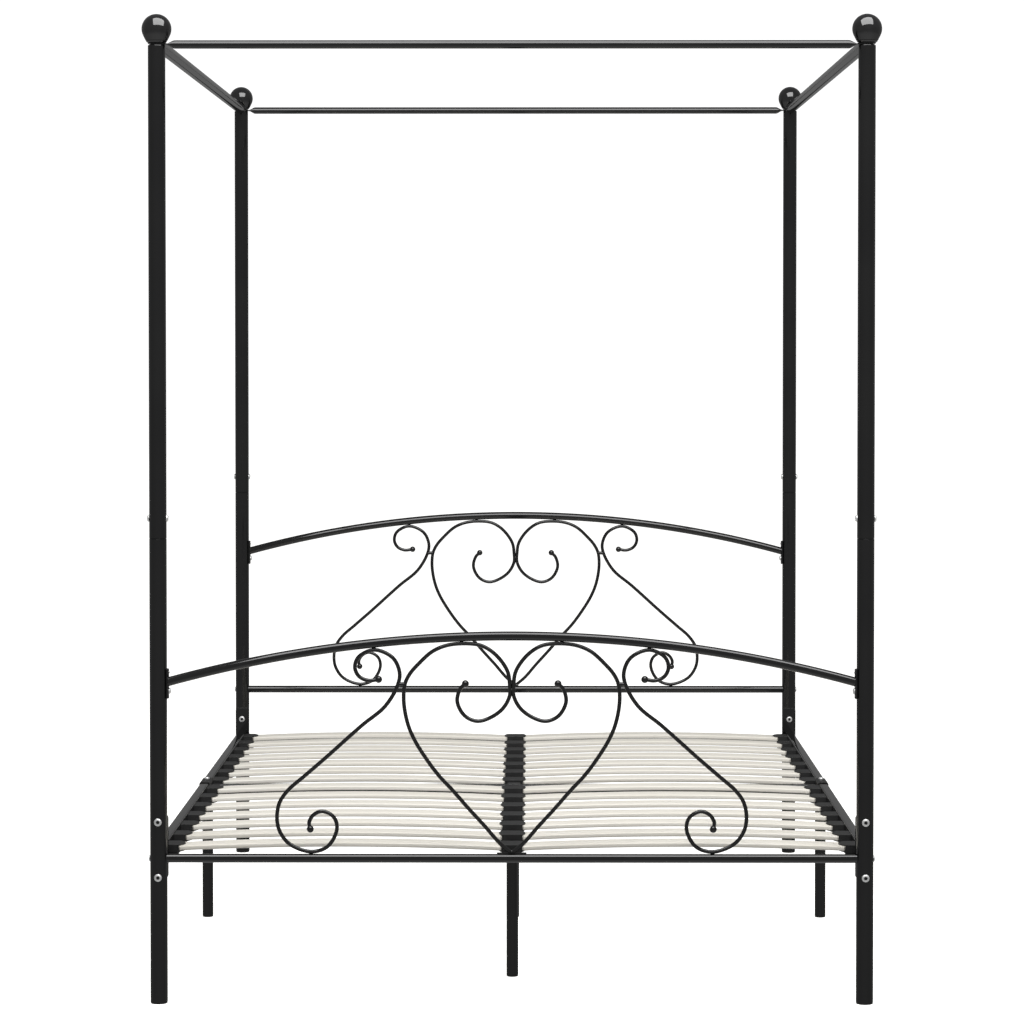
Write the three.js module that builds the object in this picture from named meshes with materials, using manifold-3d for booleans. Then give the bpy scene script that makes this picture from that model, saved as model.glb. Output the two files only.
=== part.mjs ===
// Four poster canopy bed in black coated steel tube, with sprung wooden slats.
// Millimetres, +Z up. The origin is on the floor, under the middle of the bed.
// The foot end is at -Y, the head end at +Y, and left is -X.
import * as THREE from 'three';
import { mergeVertices } from 'three/addons/utils/BufferGeometryUtils.js';
import Module from 'manifold-3d';

const wasm = await Module();
wasm.setup();

// ---- Driving dimensions -------------------------------------------------------------------

const gap = 0.3; // air left where two separate pieces touch
const weld = 0.6; // how deep two welded pieces run into each other

// Posts: two tubes each, the lower one swaged to a spigot that the upper one slides on to.
const postSpanX = 1425; // left post axis to right post axis
const postSpanY = 2035; // foot post axis to head post axis
const postDia = 35;
const postWall = 1.5;
const postTopZ = 1931;
const postSplitZ = 940;
const spigotLength = 80;
const footSole = 3; // closed bottom of the lower post
const topPlate = 3; // closed top of the upper post, drilled for the finial's stem

// Finials: a ball on a thin collar, with a stem that clamps the canopy rails to the post.
const ballDia = 60;
const collarDia = 36;
const collarHeight = 2.9;
const stemDia = 10;
const stemReach = 28; // how far the stem goes down into the post

// Canopy rails: round tube with both ends pressed flat.
const endRailDia = 17;
const sideRailDia = 25;
const tabThickness = 2.4;
const tabWidthMax = 33;
const tabReach = 12.5; // tip of the flat end past the post's axis
const tabShoulder = 1.5; // flat as far as this beyond the post's face
const tabTaper = 18; // length over which the tube goes from flat to round

// Head and foot panels: an arched rail over a straight rail, with scrollwork between.
const archDia = 18.5;
const archRise = 93.3; // middle of the arch above its ends
const barDia = 18;
const footBarZ = 294;
const footArchZ = 743.8; // middle of the arch
const headBarZ = 426;
const headArchZ = 880;
const headBaseBarZ = 294;
const saddleHeight = 60;
const saddleWidth = 26;
const saddleThickness = 6;
const saddleDrop = 3; // middle of the saddle below the end of the arch
const scrollDia = 8;
const scrollBallDia = 14.5;

// Side rails: box tube in two halves, joined at mid length by a sleeve.
const railWidth = 20;
const railHeight = 40;
const railWall = 1.5;
const railTopZ = 318;
const railPlateWidth = 34;
const railPlateHeight = 128;
const railPlateThickness = 4;
const railPlateMidZ = 315.4;
const railPlateInset = 0.7; // middle of the plate towards the bed from the post's axis
const sleeveWall = 2.4;
const sleeveLength = 80;
const sleeveClearance = 1; // from the end of the sleeve to the next slat pocket

// Slats: a crowned strip on each side of the centre beam, held in plastic pockets.
const slatRows = 14;
const slatWidth = 52;
const slatThickness = 8;
const slatEndRoom = 74.35; // middle of the first and last slat from the posts' axes
const slatUndersideZ = 303; // at its ends
const slatCrown = 8;
const pocketWidth = 58;
const pocketSkin = 3.6; // plastic above and below the slat
const pocketClearance = 0.5;
const pocketGrip = 12; // slat held inside the pocket
const sideMouth = 25; // mouth of the pocket from the rail's inner face, at its corners
const sideLip = 37; // and at the middle of its curved lip
const beamMouth = 21; // mouth of the double pocket from the bed's middle, at its corners
const beamLip = 27.5;

// Centre beam, cross bar and legs.
const beamWidth = 30;
const beamWall = 1.5;
const beamNotchLength = 93; // cut away under the ends that hang on the base rails
const beamNotchHeight = 15;
const hookPlateWidth = 60;
const hookPlateThickness = 3;
const hookReach = 12; // length of the riser that lifts the hook off the beam's end
const crossBarWidth = 25;
const crossBarHeight = 25;
const crossBarTopZ = 309;
const crossBarRoom = 4.05; // from the middle legs' angle plates to the next slat pockets
const legDia = 25;
const frontLegRoom = 296; // foot posts' axes to the front centre leg
const legPlateThickness = 4;
const legPlateLength = 44;

// ---- Sizes that follow from them ----------------------------------------------------------

const postX = postSpanX / 2;
const postY = postSpanY / 2;
const postR = postDia / 2;
const postBoreR = postR - postWall;
const spigotR = postBoreR - gap;
const innerHalf = postX - postR; // bed's middle to the face of a post
const rodR = scrollDia / 2;
const endTabZ = postTopZ + gap + tabThickness / 2;
const sideTabZ = endTabZ + gap + tabThickness;
const collarZ = sideTabZ + tabThickness / 2 + gap;
const railInnerX = postX - railWidth / 2;
const pocketFloorZ = slatUndersideZ - pocketSkin;
const pocketHeight = slatThickness + 2 * pocketSkin;
const slatOuterX = railInnerX - sideMouth + pocketGrip;
const slatInnerX = beamMouth - pocketGrip;
const beamTopZ = pocketFloorZ + weld;
const slatPitch = (postSpanY - 2 * slatEndRoom) / (slatRows - 1);
const firstSlatY = slatEndRoom - postY;
const crossBarY = (slatPitch - pocketWidth - legPlateLength) / 2 - crossBarRoom;
const sleeveEndY = (slatPitch - pocketWidth) / 2 - sleeveClearance;
const hookZ = footBarZ + Math.sqrt((barDia / 2 + gap) ** 2 - (rodR + gap) ** 2);

// ---- Materials ----------------------------------------------------------------------------

const finish = (color, roughness, metalness) => ({ color, roughness, metalness });
const coatedSteel = finish('#232323', 0.35, 0.3);
const lacqueredBall = finish('#1c1c1c', 0.2, 0.1);
const paleSlat = finish('#ece9e0', 0.55, 0);

// ---- Helpers ------------------------------------------------------------------------------

// A closed shell with shared corners, no collapsed triangles and its faces pointing out.
function closed(geometry) {
  geometry.deleteAttribute('normal');
  geometry.deleteAttribute('uv');
  const merged = mergeVertices(geometry, 1e-4);
  const index = Array.from(merged.index.array);
  const at = (i) => new THREE.Vector3().fromBufferAttribute(merged.attributes.position, i);
  const kept = [];
  let volume = 0;
  for (let i = 0; i < index.length; i += 3) {
    const [a, b, c] = index.slice(i, i + 3);
    if (a === b || b === c || c === a) continue;
    kept.push(a, b, c);
    volume += at(a).dot(at(b).cross(at(c)));
  }
  merged.setIndex(volume < 0 ? kept.reverse() : kept);
  return merged;
}

// A three.js geometry as a manifold solid.
function solid(geometry) {
  const shell = closed(geometry);
  const mesh = new wasm.Mesh({
    numProp: 3,
    vertProperties: new Float32Array(shell.attributes.position.array),
    triVerts: new Uint32Array(shell.index.array),
  });
  return new wasm.Manifold(mesh);
}

// A manifold solid as a three.js geometry.
function geometryOf(body) {
  const mesh = body.getMesh();
  const geometry = new THREE.BufferGeometry();
  geometry.setAttribute('position', new THREE.BufferAttribute(mesh.vertProperties, 3));
  geometry.setIndex(new THREE.BufferAttribute(mesh.triVerts, 1));
  return geometry;
}

// A block between two opposite corners.
function block(low, high) {
  const size = high.map((value, i) => value - low[i]);
  const middle = high.map((value, i) => (value + low[i]) / 2);
  return solid(new THREE.BoxGeometry(...size).translate(...middle));
}

// An upright cylinder.
function upright(radius, lowZ, highZ, x, y, sides = 20) {
  const geometry = new THREE.CylinderGeometry(radius, radius, highZ - lowZ, sides);
  return solid(geometry.rotateX(Math.PI / 2).translate(x, y, (lowZ + highZ) / 2));
}

// A profile of [radius, height] points turned about the Z axis.
function turned(profile, sides) {
  const points = profile.map(([radius, height]) => new THREE.Vector2(radius, height));
  return new THREE.LatheGeometry(points, sides).rotateX(Math.PI / 2);
}

// A flat shape drawn in X and Z, with its thickness along Y from y to y + depth.
function extrudedAlongY(shape, y, depth) {
  const geometry = new THREE.ExtrudeGeometry(shape, { depth, bevelEnabled: false });
  return geometry.rotateX(Math.PI / 2).translate(0, y + depth, 0);
}

// A round rod along a curve.
function rod(curve, radius, steps, sides) {
  const section = new THREE.Shape().absarc(0, 0, radius, 0, 2 * Math.PI);
  const options = { steps, curveSegments: sides / 2, extrudePath: curve, bevelEnabled: false };
  return solid(new THREE.ExtrudeGeometry(section, options));
}

function unite(bodies) {
  return bodies.reduce((whole, body) => whole.add(body));
}

// ---- The bed ------------------------------------------------------------------------------

const bed = new THREE.Group();
bed.name = 'four_poster_canopy_bed';

function place(name, geometry, look, x = 0, y = 0, z = 0) {
  const material = new THREE.MeshStandardMaterial(look);
  const whole = closed(geometry);
  whole.computeVertexNormals();
  const mesh = new THREE.Mesh(whole, material);
  mesh.name = name;
  mesh.position.set(x, y, z);
  bed.add(mesh);
}

const sides = [['left', -1], ['right', 1]];
const ends = [['foot', -1], ['head', 1]];

// Lower post: a tube with a sole to stand on and a thinner spigot at the top.
function lowerPost() {
  const spigotBoreR = spigotR - postWall;
  return turned([
    [0, 0],
    [postR, 0],
    [postR, postSplitZ],
    [spigotR, postSplitZ],
    [spigotR, postSplitZ + spigotLength],
    [spigotBoreR, postSplitZ + spigotLength],
    [spigotBoreR, footSole],
    [0, footSole],
  ], 16);
}

// Upper post: an open tube below, with a drilled plate across its top.
function upperPost() {
  const lowZ = postSplitZ + gap;
  const holeR = stemDia / 2 + gap;
  return turned([
    [postR, lowZ],
    [postR, postTopZ],
    [holeR, postTopZ],
    [holeR, postTopZ - topPlate],
    [postBoreR, postTopZ - topPlate],
    [postBoreR, lowZ],
    [postR, lowZ],
  ], 16);
}

// Finial: stem, collar and ball in one piece. The ball starts where it meets the collar's rim.
function finial() {
  const ballR = ballDia / 2;
  const collarR = collarDia / 2;
  const ballZ = collarZ + collarHeight + Math.sqrt(ballR ** 2 - collarR ** 2);
  const startAngle = Math.asin(collarR / ballR);
  const steps = 7;
  const profile = [
    [0, collarZ - stemReach],
    [stemDia / 2, collarZ - stemReach],
    [stemDia / 2, collarZ],
    [collarR, collarZ],
  ];
  for (let i = 0; i < steps; i += 1) {
    const angle = startAngle + (Math.PI - startAngle) * i / steps;
    profile.push([ballR * Math.sin(angle), ballZ - ballR * Math.cos(angle)]);
  }
  profile.push([0, ballZ + ballR]);
  return turned(profile, 16);
}

// Canopy rail along X, its ends pressed flat and drilled over the posts' axes.
function canopyRail(span, diameter) {
  const radius = diameter / 2;
  const tabHalf = Math.min(Math.PI * diameter, 2 * tabWidthMax) / 4;
  const flatEnd = postR + tabShoulder;
  // Distance from the post's axis, how flat the tube is there, and how much of its width is left.
  const stations = [
    [-tabReach, 1, 0.55],
    [-tabReach * 0.7, 1, 0.85],
    [0, 1, 1],
    [flatEnd, 1, 1],
    [flatEnd + tabTaper / 2, 0.5, 1],
    [flatEnd + tabTaper, 0, 1],
  ];
  const rings = [...stations, ...stations.map(([d, flat, width]) => [span - d, flat, width]).reverse()];
  const length = rings.length - 1;
  const geometry = new THREE.CylinderGeometry(1, 1, length, 12, length);
  const position = geometry.attributes.position;
  for (let i = 0; i < position.count; i += 1) {
    const [along, flat, width] = rings[Math.round(position.getY(i) + length / 2)];
    const wide = THREE.MathUtils.lerp(radius, tabHalf, flat) * width;
    const high = THREE.MathUtils.lerp(radius, tabThickness / 2, flat);
    position.setXYZ(i, position.getX(i) * wide, along - span / 2, position.getZ(i) * high);
  }
  const tube = solid(geometry.rotateZ(-Math.PI / 2));
  const holes = [-span / 2, span / 2].map(
    (x) => upright(stemDia / 2 + gap, -radius, radius, x, 0, 12),
  );
  return geometryOf(tube.subtract(unite(holes)));
}

for (const [end, signY] of ends) {
  for (const [side, signX] of sides) {
    place(`${end}_${side}_lower_post`, lowerPost(), coatedSteel, signX * postX, signY * postY);
    place(`${end}_${side}_upper_post`, upperPost(), coatedSteel, signX * postX, signY * postY);
    place(`${end}_${side}_finial`, finial(), lacqueredBall, signX * postX, signY * postY);
  }
  const rail = canopyRail(postSpanX, endRailDia);
  place(`${end}_canopy_rail`, rail, coatedSteel, 0, signY * postY, endTabZ);
}
for (const [side, signX] of sides) {
  const rail = canopyRail(postSpanY, sideRailDia).rotateZ(Math.PI / 2);
  place(`${side}_canopy_rail`, rail, coatedSteel, signX * postX, 0, sideTabZ);
}

// The posts' surfaces, a gap larger, to cope the ends of what butts against them.
function postCutters(lowZ, highZ) {
  return unite(sides.map(([, sign]) => upright(postR + gap, lowZ, highZ, sign * postX, 0)));
}

// Straight round bar from post to post.
function straightBar(barZ) {
  const length = 2 * postX - postR;
  const geometry = new THREE.CylinderGeometry(barDia / 2, barDia / 2, length, 16);
  const bar = solid(geometry.rotateZ(Math.PI / 2).translate(0, 0, barZ));
  return geometryOf(bar.subtract(postCutters(barZ - barDia, barZ + barDia)));
}

// Height of the arched rail's axis below its middle, at a distance from the bed's middle.
const archRadius = (innerHalf ** 2 + archRise ** 2) / (2 * archRise);
const archDropAt = (x) => archRadius - Math.sqrt(archRadius ** 2 - x ** 2);

// Arched rail with a saddle plate on each end that lies round the post.
function archedRail(archZ) {
  const reach = innerHalf - saddleThickness / 2;
  const halfAngle = Math.asin(reach / archRadius);
  const centreZ = archZ - archRadius;
  class Arch extends THREE.Curve {
    getPoint(t) {
      const angle = (2 * t - 1) * halfAngle;
      return new THREE.Vector3(archRadius * Math.sin(angle), 0, centreZ + archRadius * Math.cos(angle));
    }
  }
  const saddleZ = archZ - archRise - saddleDrop;
  const lowZ = saddleZ - saddleHeight / 2;
  const highZ = saddleZ + saddleHeight / 2;
  const halfWidth = saddleWidth / 2;
  const saddles = sides.map(([, sign]) => {
    const near = sign * (innerHalf - saddleThickness);
    const far = sign * (innerHalf + postR / 2);
    return block(
      [Math.min(near, far), -halfWidth, lowZ],
      [Math.max(near, far), halfWidth, highZ],
    );
  });
  const rail = unite([rod(new Arch(), archDia / 2, 22, 12), ...saddles]);
  return geometryOf(rail.subtract(postCutters(lowZ - 1, highZ + 1)));
}

// Scroll bars, left half, from one ball to the other. Each point is a share of the way from the
// bed's middle to the post, and a share of the way from the straight bar up to the arched rail.
const sideScroll = [
  [0.383, 0.852], [0.413, 0.851], [0.44, 0.876], [0.452, 0.922], [0.442, 0.972], [0.396, 1],
  [0.342, 0.953], [0.322, 0.88], [0.3265, 0.82], [0.364, 0.717], [0.432, 0.63], [0.537, 0.481],
  [0.604, 0.387], [0.647, 0.325], [0.672, 0.262], [0.68, 0.183], [0.673, 0.112], [0.644, 0.041],
  [0.581, 0], [0.532, 0.027], [0.505, 0.114], [0.514, 0.175], [0.547, 0.207], [0.573, 0.19],
  [0.586, 0.153], [0.583, 0.117],
];
const heartScroll = [
  [0.13, 0.807], [0.145, 0.783], [0.154, 0.727], [0.141, 0.671], [0.121, 0.64], [0.092, 0.626],
  [0.054, 0.645], [0.02, 0.687], [0.001, 0.746], [0.001, 0.803], [0.006, 0.858], [0.025, 0.912],
  [0.054, 0.96], [0.088, 0.99], [0.141, 1], [0.188, 0.993], [0.227, 0.968], [0.266, 0.914],
  [0.292, 0.867], [0.306, 0.82], [0.31, 0.755], [0.306, 0.683], [0.295, 0.609], [0.278, 0.543],
  [0.246, 0.455], [0.208, 0.369], [0.169, 0.299], [0.121, 0.208], [0.072, 0.12], [0.031, 0.043],
  [0, 0],
];
const tieShare = 0.82; // height share of the short tie between the two scroll bars
const heartWeldShares = [0, 0.775]; // height shares of the welds between the heart's two bars

// Scrollwork that just clears a straight bar at barZ and an arched rail at archZ.
function scrollwork(barZ, archZ) {
  const midX = rodR - weld; // the two heart bars are welded where they meet
  const lowZ = barZ + barDia / 2 + gap + rodR;
  const at = ([across, up], sign) => {
    const x = midX + across * (innerHalf - midX);
    const highZ = archZ - archDropAt(x) - archDia / 2 - gap - rodR;
    return new THREE.Vector3(sign * x, 0, THREE.MathUtils.lerp(lowZ, highZ, up));
  };
  const tieFrom = sideScroll.find(([, up]) => up === tieShare);
  const tieTo = heartScroll.find(([, up]) => up === tieShare);
  const bodies = sides.flatMap(([, sign]) => {
    const bars = [[sideScroll, 32], [heartScroll, 34]].map(([points, steps]) => {
      const curve = new THREE.CatmullRomCurve3(points.map((point) => at(point, sign)));
      return rod(curve, rodR, steps, 6);
    });
    const ballPlaces = [sideScroll[0], sideScroll.at(-1), heartScroll[0]];
    const balls = ballPlaces.map((point) => {
      const centre = at(point, sign);
      return solid(new THREE.SphereGeometry(scrollBallDia / 2, 8, 6).translate(...centre));
    });
    const tie = new THREE.LineCurve3(at(tieFrom, sign), at(tieTo, sign));
    return [...bars, ...balls, rod(tie, rodR, 1, 6)];
  });
  const beads = heartWeldShares.map((up) => {
    const { y, z } = at([0, up], 1);
    return solid(new THREE.SphereGeometry(rodR, 8, 6).translate(0, y, z));
  });
  return geometryOf(unite([...bodies, ...beads]));
}

const panels = [['foot', -1, footBarZ, footArchZ], ['head', 1, headBarZ, headArchZ]];
for (const [end, signY, barZ, archZ] of panels) {
  const y = signY * postY;
  place(`${end}board_arched_rail`, archedRail(archZ), coatedSteel, 0, y);
  place(`${end}board_straight_rail`, straightBar(barZ), coatedSteel, 0, y);
  place(`${end}board_scrollwork`, scrollwork(barZ, archZ), coatedSteel, 0, y);
}
place('head_base_rail', straightBar(headBaseBarZ), coatedSteel, 0, postY);

// Outline of a slat pocket seen from above, with a curved lip. It reaches from rootX to mouthX at
// its corners and to lipX at the middle, and has its thickness along Z.
function pocketBlock(rootX, mouthX, lipX, slatY) {
  const half = pocketWidth / 2;
  const bulge = new THREE.QuadraticBezierCurve(
    new THREE.Vector2(mouthX, half),
    new THREE.Vector2(2 * lipX - mouthX, 0),
    new THREE.Vector2(mouthX, -half),
  );
  const outline = [new THREE.Vector2(rootX, -half), new THREE.Vector2(rootX, half)];
  const shape = new THREE.Shape([...outline, ...bulge.getPoints(4)]);
  const options = { depth: pocketHeight, bevelEnabled: false };
  return solid(new THREE.ExtrudeGeometry(shape, options).translate(0, slatY, pocketFloorZ));
}

// The space that a slat needs inside its pockets.
function slatSpace(fromX, toX, slatY) {
  const half = slatWidth / 2 + pocketClearance;
  return block(
    [Math.min(fromX, toX), slatY - half, slatUndersideZ - pocketClearance],
    [Math.max(fromX, toX), slatY + half, slatUndersideZ + slatThickness + pocketClearance],
  );
}

const slatYs = Array.from({ length: slatRows }, (_, row) => firstSlatY + row * slatPitch);
const firstRailY = -postY + postR + gap; // face of the foot posts that the rails bolt to
const jointY = crossBarY; // the two halves of a rail meet over the middle leg

// Left side rail, foot half or head half, with its end plate and slat pockets.
// The foot half carries the sleeve that the head half slides into.
function sideRail(isFootHalf) {
  const plateY = isFootHalf ? firstRailY : -firstRailY;
  const inward = isFootHalf ? 1 : -1;
  const endY = isFootHalf ? jointY : jointY + gap;
  const outerX = -postX - railWidth / 2;
  const innerX = -railInnerX;
  const lowZ = railTopZ - railHeight;
  const span = [plateY + inward * weld, endY].sort((a, b) => a - b);
  const parts = [block([outerX, span[0], lowZ], [innerX, span[1], railTopZ])];

  const plateMidX = -postX + railPlateInset;
  const plateSpan = [plateY, plateY + inward * railPlateThickness].sort((a, b) => a - b);
  parts.push(block(
    [plateMidX - railPlateWidth / 2, plateSpan[0], railPlateMidZ - railPlateHeight / 2],
    [plateMidX + railPlateWidth / 2, plateSpan[1], railPlateMidZ + railPlateHeight / 2],
  ));
  if (isFootHalf) {
    parts.push(block(
      [outerX - sleeveWall, sleeveEndY - sleeveLength, lowZ - sleeveWall],
      [innerX + sleeveWall, sleeveEndY, railTopZ + sleeveWall],
    ));
  }
  const mine = slatYs.filter((y) => (y < jointY) === isFootHalf);
  for (const slatY of mine) {
    parts.push(pocketBlock(innerX - weld, innerX + sideMouth, innerX + sideLip, slatY));
  }
  let rail = unite(parts);
  const bore = plateY + inward * railPlateThickness;
  const boreSpan = [bore, endY + inward * weld].sort((a, b) => a - b);
  rail = rail.subtract(block(
    [outerX + railWall, boreSpan[0], lowZ + railWall],
    [innerX - railWall, boreSpan[1], railTopZ - railWall],
  ));
  if (isFootHalf) {
    rail = rail.subtract(block(
      [outerX - gap, jointY, lowZ - gap],
      [innerX + gap, sleeveEndY + weld, railTopZ + gap],
    ));
  }
  for (const slatY of mine) {
    const mouth = innerX + sideLip + weld;
    rail = rail.subtract(slatSpace(-slatOuterX - pocketClearance, mouth, slatY));
  }
  return geometryOf(rail);
}

for (const [side, signX] of sides) {
  for (const [end, signY] of ends) {
    const rail = sideRail(signY < 0).scale(-signX, 1, 1);
    place(`${side}_side_rail_${end}_half`, rail, coatedSteel);
  }
}

// Centre beam, foot half or head half: box tube with double slat pockets on top, and a hook
// plate at each end that lies on the shoulder of the bed's base rail and on the cross bar.
// Its underside is notched where it hangs on the base rail.
function centreBeam(isFootHalf) {
  const outward = isFootHalf ? -1 : 1;
  const railEndY = outward * (postY - barDia / 2 - gap);
  const barEndY = crossBarY + outward * (crossBarWidth / 2 + gap);
  const half = beamWidth / 2;
  const [y0, y1] = [railEndY, barEndY].sort((a, b) => a - b);
  const parts = [block([-half, y0, beamTopZ - beamWidth], [half, y1, beamTopZ])];

  const barHookZ = crossBarTopZ + gap;
  const hooks = [
    [railEndY, outward, hookZ, hookPlateWidth / 2, barDia / 2 - rodR],
    [barEndY, -outward, barHookZ, half, crossBarWidth / 2 - gap],
  ];
  for (const [endY, way, plateZ, plateHalf, overlap] of hooks) {
    const riserSpan = [endY - way * hookReach, endY].sort((a, b) => a - b);
    const plateSpan = [endY - way * hookReach, endY + way * overlap].sort((a, b) => a - b);
    const plateTop = plateZ + hookPlateThickness;
    parts.push(block([-half, riserSpan[0], beamTopZ - weld], [half, riserSpan[1], plateTop]));
    parts.push(block([-plateHalf, plateSpan[0], plateZ], [plateHalf, plateSpan[1], plateTop]));
  }
  const mine = slatYs.filter((y) => (y < crossBarY) === isFootHalf);
  for (const slatY of mine) {
    parts.push(pocketBlock(-weld, beamMouth, beamLip, slatY));
    parts.push(pocketBlock(weld, -beamMouth, -beamLip, slatY));
  }
  let beam = unite(parts);
  beam = beam.subtract(block(
    [-half + beamWall, y0 - weld, beamTopZ - beamWidth + beamWall],
    [half - beamWall, y1 + weld, beamTopZ - 2 * beamWall],
  ));
  const notch = [railEndY + outward * weld, railEndY - outward * beamNotchLength];
  const lowZ = beamTopZ - beamWidth;
  beam = beam.subtract(block(
    [-half - weld, Math.min(...notch), lowZ - weld],
    [half + weld, Math.max(...notch), lowZ + beamNotchHeight],
  ));
  for (const slatY of mine) {
    for (const [, sign] of sides) {
      const back = sign * (slatInnerX - pocketClearance);
      beam = beam.subtract(slatSpace(back, sign * (beamLip + weld), slatY));
    }
  }
  return geometryOf(beam);
}

for (const [end, signY] of ends) {
  place(`centre_beam_${end}_half`, centreBeam(signY < 0), coatedSteel);
}

// Middle support: a cross bar between the rails, welded to an angle plate and a leg at each end.
function middleSupport() {
  const plateTopZ = railTopZ - railHeight - sleeveWall - gap;
  const plateX = railInnerX - sleeveWall - gap; // upright side of the angle plate
  const barX = plateX - legPlateThickness + weld;
  const y0 = crossBarY - crossBarWidth / 2;
  const y1 = crossBarY + crossBarWidth / 2;
  const bar = block([-barX, y0, crossBarTopZ - crossBarHeight], [barX, y1, crossBarTopZ]);
  const brackets = sides.flatMap(([, sign]) => {
    const spanX = (a, b) => [sign * a, sign * b].sort((p, q) => p - q);
    const [ux0, ux1] = spanX(plateX - legPlateThickness, plateX);
    const [fx0, fx1] = spanX(plateX - legPlateThickness, postX + railWidth / 2);
    const [py0, py1] = [crossBarY - legPlateLength / 2, crossBarY + legPlateLength / 2];
    const floorZ = plateTopZ - legPlateThickness;
    return [
      block([ux0, py0, floorZ], [ux1, py1, crossBarTopZ]),
      block([fx0, py0, floorZ], [fx1, py1, plateTopZ]),
      upright(legDia / 2, 0, floorZ + weld, sign * (postX - legPlateThickness / 2), crossBarY, 16),
    ];
  });
  return geometryOf(unite([bar, ...brackets]));
}
place('middle_support_with_side_legs', middleSupport(), coatedSteel);

// Centre legs: round tube with a closed sole, screwed up against the beam and the cross bar.
function centreLeg(topZ) {
  const radius = legDia / 2;
  const boreR = radius - beamWall;
  return turned([[0, 0], [radius, 0], [radius, topZ], [boreR, topZ], [boreR, footSole], [0, footSole]], 16);
}
place('centre_leg_foot', centreLeg(beamTopZ - beamWidth - gap), coatedSteel, 0, frontLegRoom - postY);
place('centre_leg_middle', centreLeg(crossBarTopZ - crossBarHeight - gap), coatedSteel, 0, crossBarY);

// Slat on the right side: flat in its pockets and crowned between their mouths.
function slat() {
  const from = beamMouth;
  const to = railInnerX - sideMouth;
  const middle = (from + to) / 2;
  const crownAt = (x) => slatCrown * (1 - ((x - middle) / (to - from) * 2) ** 2);
  const steps = 4;
  const crowned = Array.from({ length: steps + 1 }, (_, i) => from + (to - from) * i / steps);
  const shape = new THREE.Shape();
  shape.moveTo(slatInnerX, 0);
  crowned.forEach((x) => shape.lineTo(x, crownAt(x)));
  shape.lineTo(slatOuterX, 0);
  shape.lineTo(slatOuterX, slatThickness);
  crowned.reverse().forEach((x) => shape.lineTo(x, slatThickness + crownAt(x)));
  shape.lineTo(slatInnerX, slatThickness);
  shape.closePath();
  return extrudedAlongY(shape, -slatWidth / 2, slatWidth);
}

slatYs.forEach((y, row) => {
  for (const [side, signX] of sides) {
    const number = String(row + 1).padStart(2, '0');
    place(`${side}_slat_${number}`, slat().scale(signX, 1, 1), paleSlat, 0, y, slatUndersideZ);
  }
});

export default bed;
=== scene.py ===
"""Four poster canopy bed: black powder-coated steel tube, scrollwork panels and pale sprung slats.

Every mesh is modelled in millimetres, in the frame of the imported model, and turned to metres when
its piece is handed over. The origin is on the floor under the middle of the bed, the foot end is
at -Y and the left side, seen from the foot end, at -X.
"""

import logging
import math
from collections.abc import Callable, Iterable, Sequence
from dataclasses import dataclass, field
from enum import Enum

import bmesh
import bpy
from bmesh.types import BMEdge, BMesh, BMVert
from mathutils import Matrix, Vector
from mathutils.geometry import interpolate_bezier


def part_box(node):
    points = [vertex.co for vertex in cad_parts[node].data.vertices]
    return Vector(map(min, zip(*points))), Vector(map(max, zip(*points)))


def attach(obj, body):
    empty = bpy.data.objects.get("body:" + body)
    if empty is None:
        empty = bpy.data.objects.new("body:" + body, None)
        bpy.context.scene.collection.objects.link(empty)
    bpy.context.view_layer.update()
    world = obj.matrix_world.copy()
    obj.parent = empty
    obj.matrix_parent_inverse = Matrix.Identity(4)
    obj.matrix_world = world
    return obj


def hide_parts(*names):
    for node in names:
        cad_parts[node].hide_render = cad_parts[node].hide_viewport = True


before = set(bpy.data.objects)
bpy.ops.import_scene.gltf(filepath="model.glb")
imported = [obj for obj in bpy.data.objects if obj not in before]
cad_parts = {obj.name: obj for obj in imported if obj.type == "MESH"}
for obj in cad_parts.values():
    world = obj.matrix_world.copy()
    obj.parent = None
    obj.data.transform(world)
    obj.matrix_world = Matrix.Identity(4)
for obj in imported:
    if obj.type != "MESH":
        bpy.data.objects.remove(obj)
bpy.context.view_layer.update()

MM = 0.001  # metres in a millimetre
ROUND = 48  # sides of the large tubes
FINE_ROUND = 24  # sides of the small rods and fasteners
SMOOTH_ANGLE = math.radians(35)  # edges sharper than this stay crisp
X_AXIS = Vector((1.0, 0.0, 0.0))
Y_AXIS = Vector((0.0, 1.0, 0.0))
Z_AXIS = Vector((0.0, 0.0, 1.0))

log = logging.getLogger("bed")
Section = Callable[[float], Vector]


class Side(Enum):
    """The bed's two long sides, with their direction along X."""

    LEFT = -1
    RIGHT = 1

    @property
    def label(self) -> str:
        """The side's word in piece names."""
        return self.name.lower()


class End(Enum):
    """The bed's two ends, with their direction along Y."""

    FOOT = -1
    HEAD = 1

    @property
    def label(self) -> str:
        """The end's word in piece names."""
        return self.name.lower()


class Finish(Enum):
    """The finishes of the bed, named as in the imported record."""

    COATED_STEEL = "black_coated_steel"
    LACQUERED_BALL = "black_lacquered_ball"
    PALE_SLAT = "pale_wood_slat"
    BRIGHT_ZINC = "bright_zinc_fastener"
    MOULDED_PLASTIC = "black_moulded_plastic"


# ---- Materials ----------------------------------------------------------------------------


def linear(colour: str) -> tuple[float, float, float, float]:
    """Turns an sRGB hex colour to a linear one.

    Args:
        colour: Hex colour such as "#ece9e0".

    Returns:
        Red, green, blue and an alpha of one.
    """
    channels = [int(colour[i : i + 2], 16) / 255 for i in (1, 3, 5)]
    red, green, blue = (c / 12.92 if c <= 0.04045 else ((c + 0.055) / 1.055) ** 2.4 for c in channels)
    return red, green, blue, 1.0


def per_metre(size: float) -> float:
    """Scale of a pattern on object coordinates whose features are this many millimetres apart."""
    return 1 / (size * MM)


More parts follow.
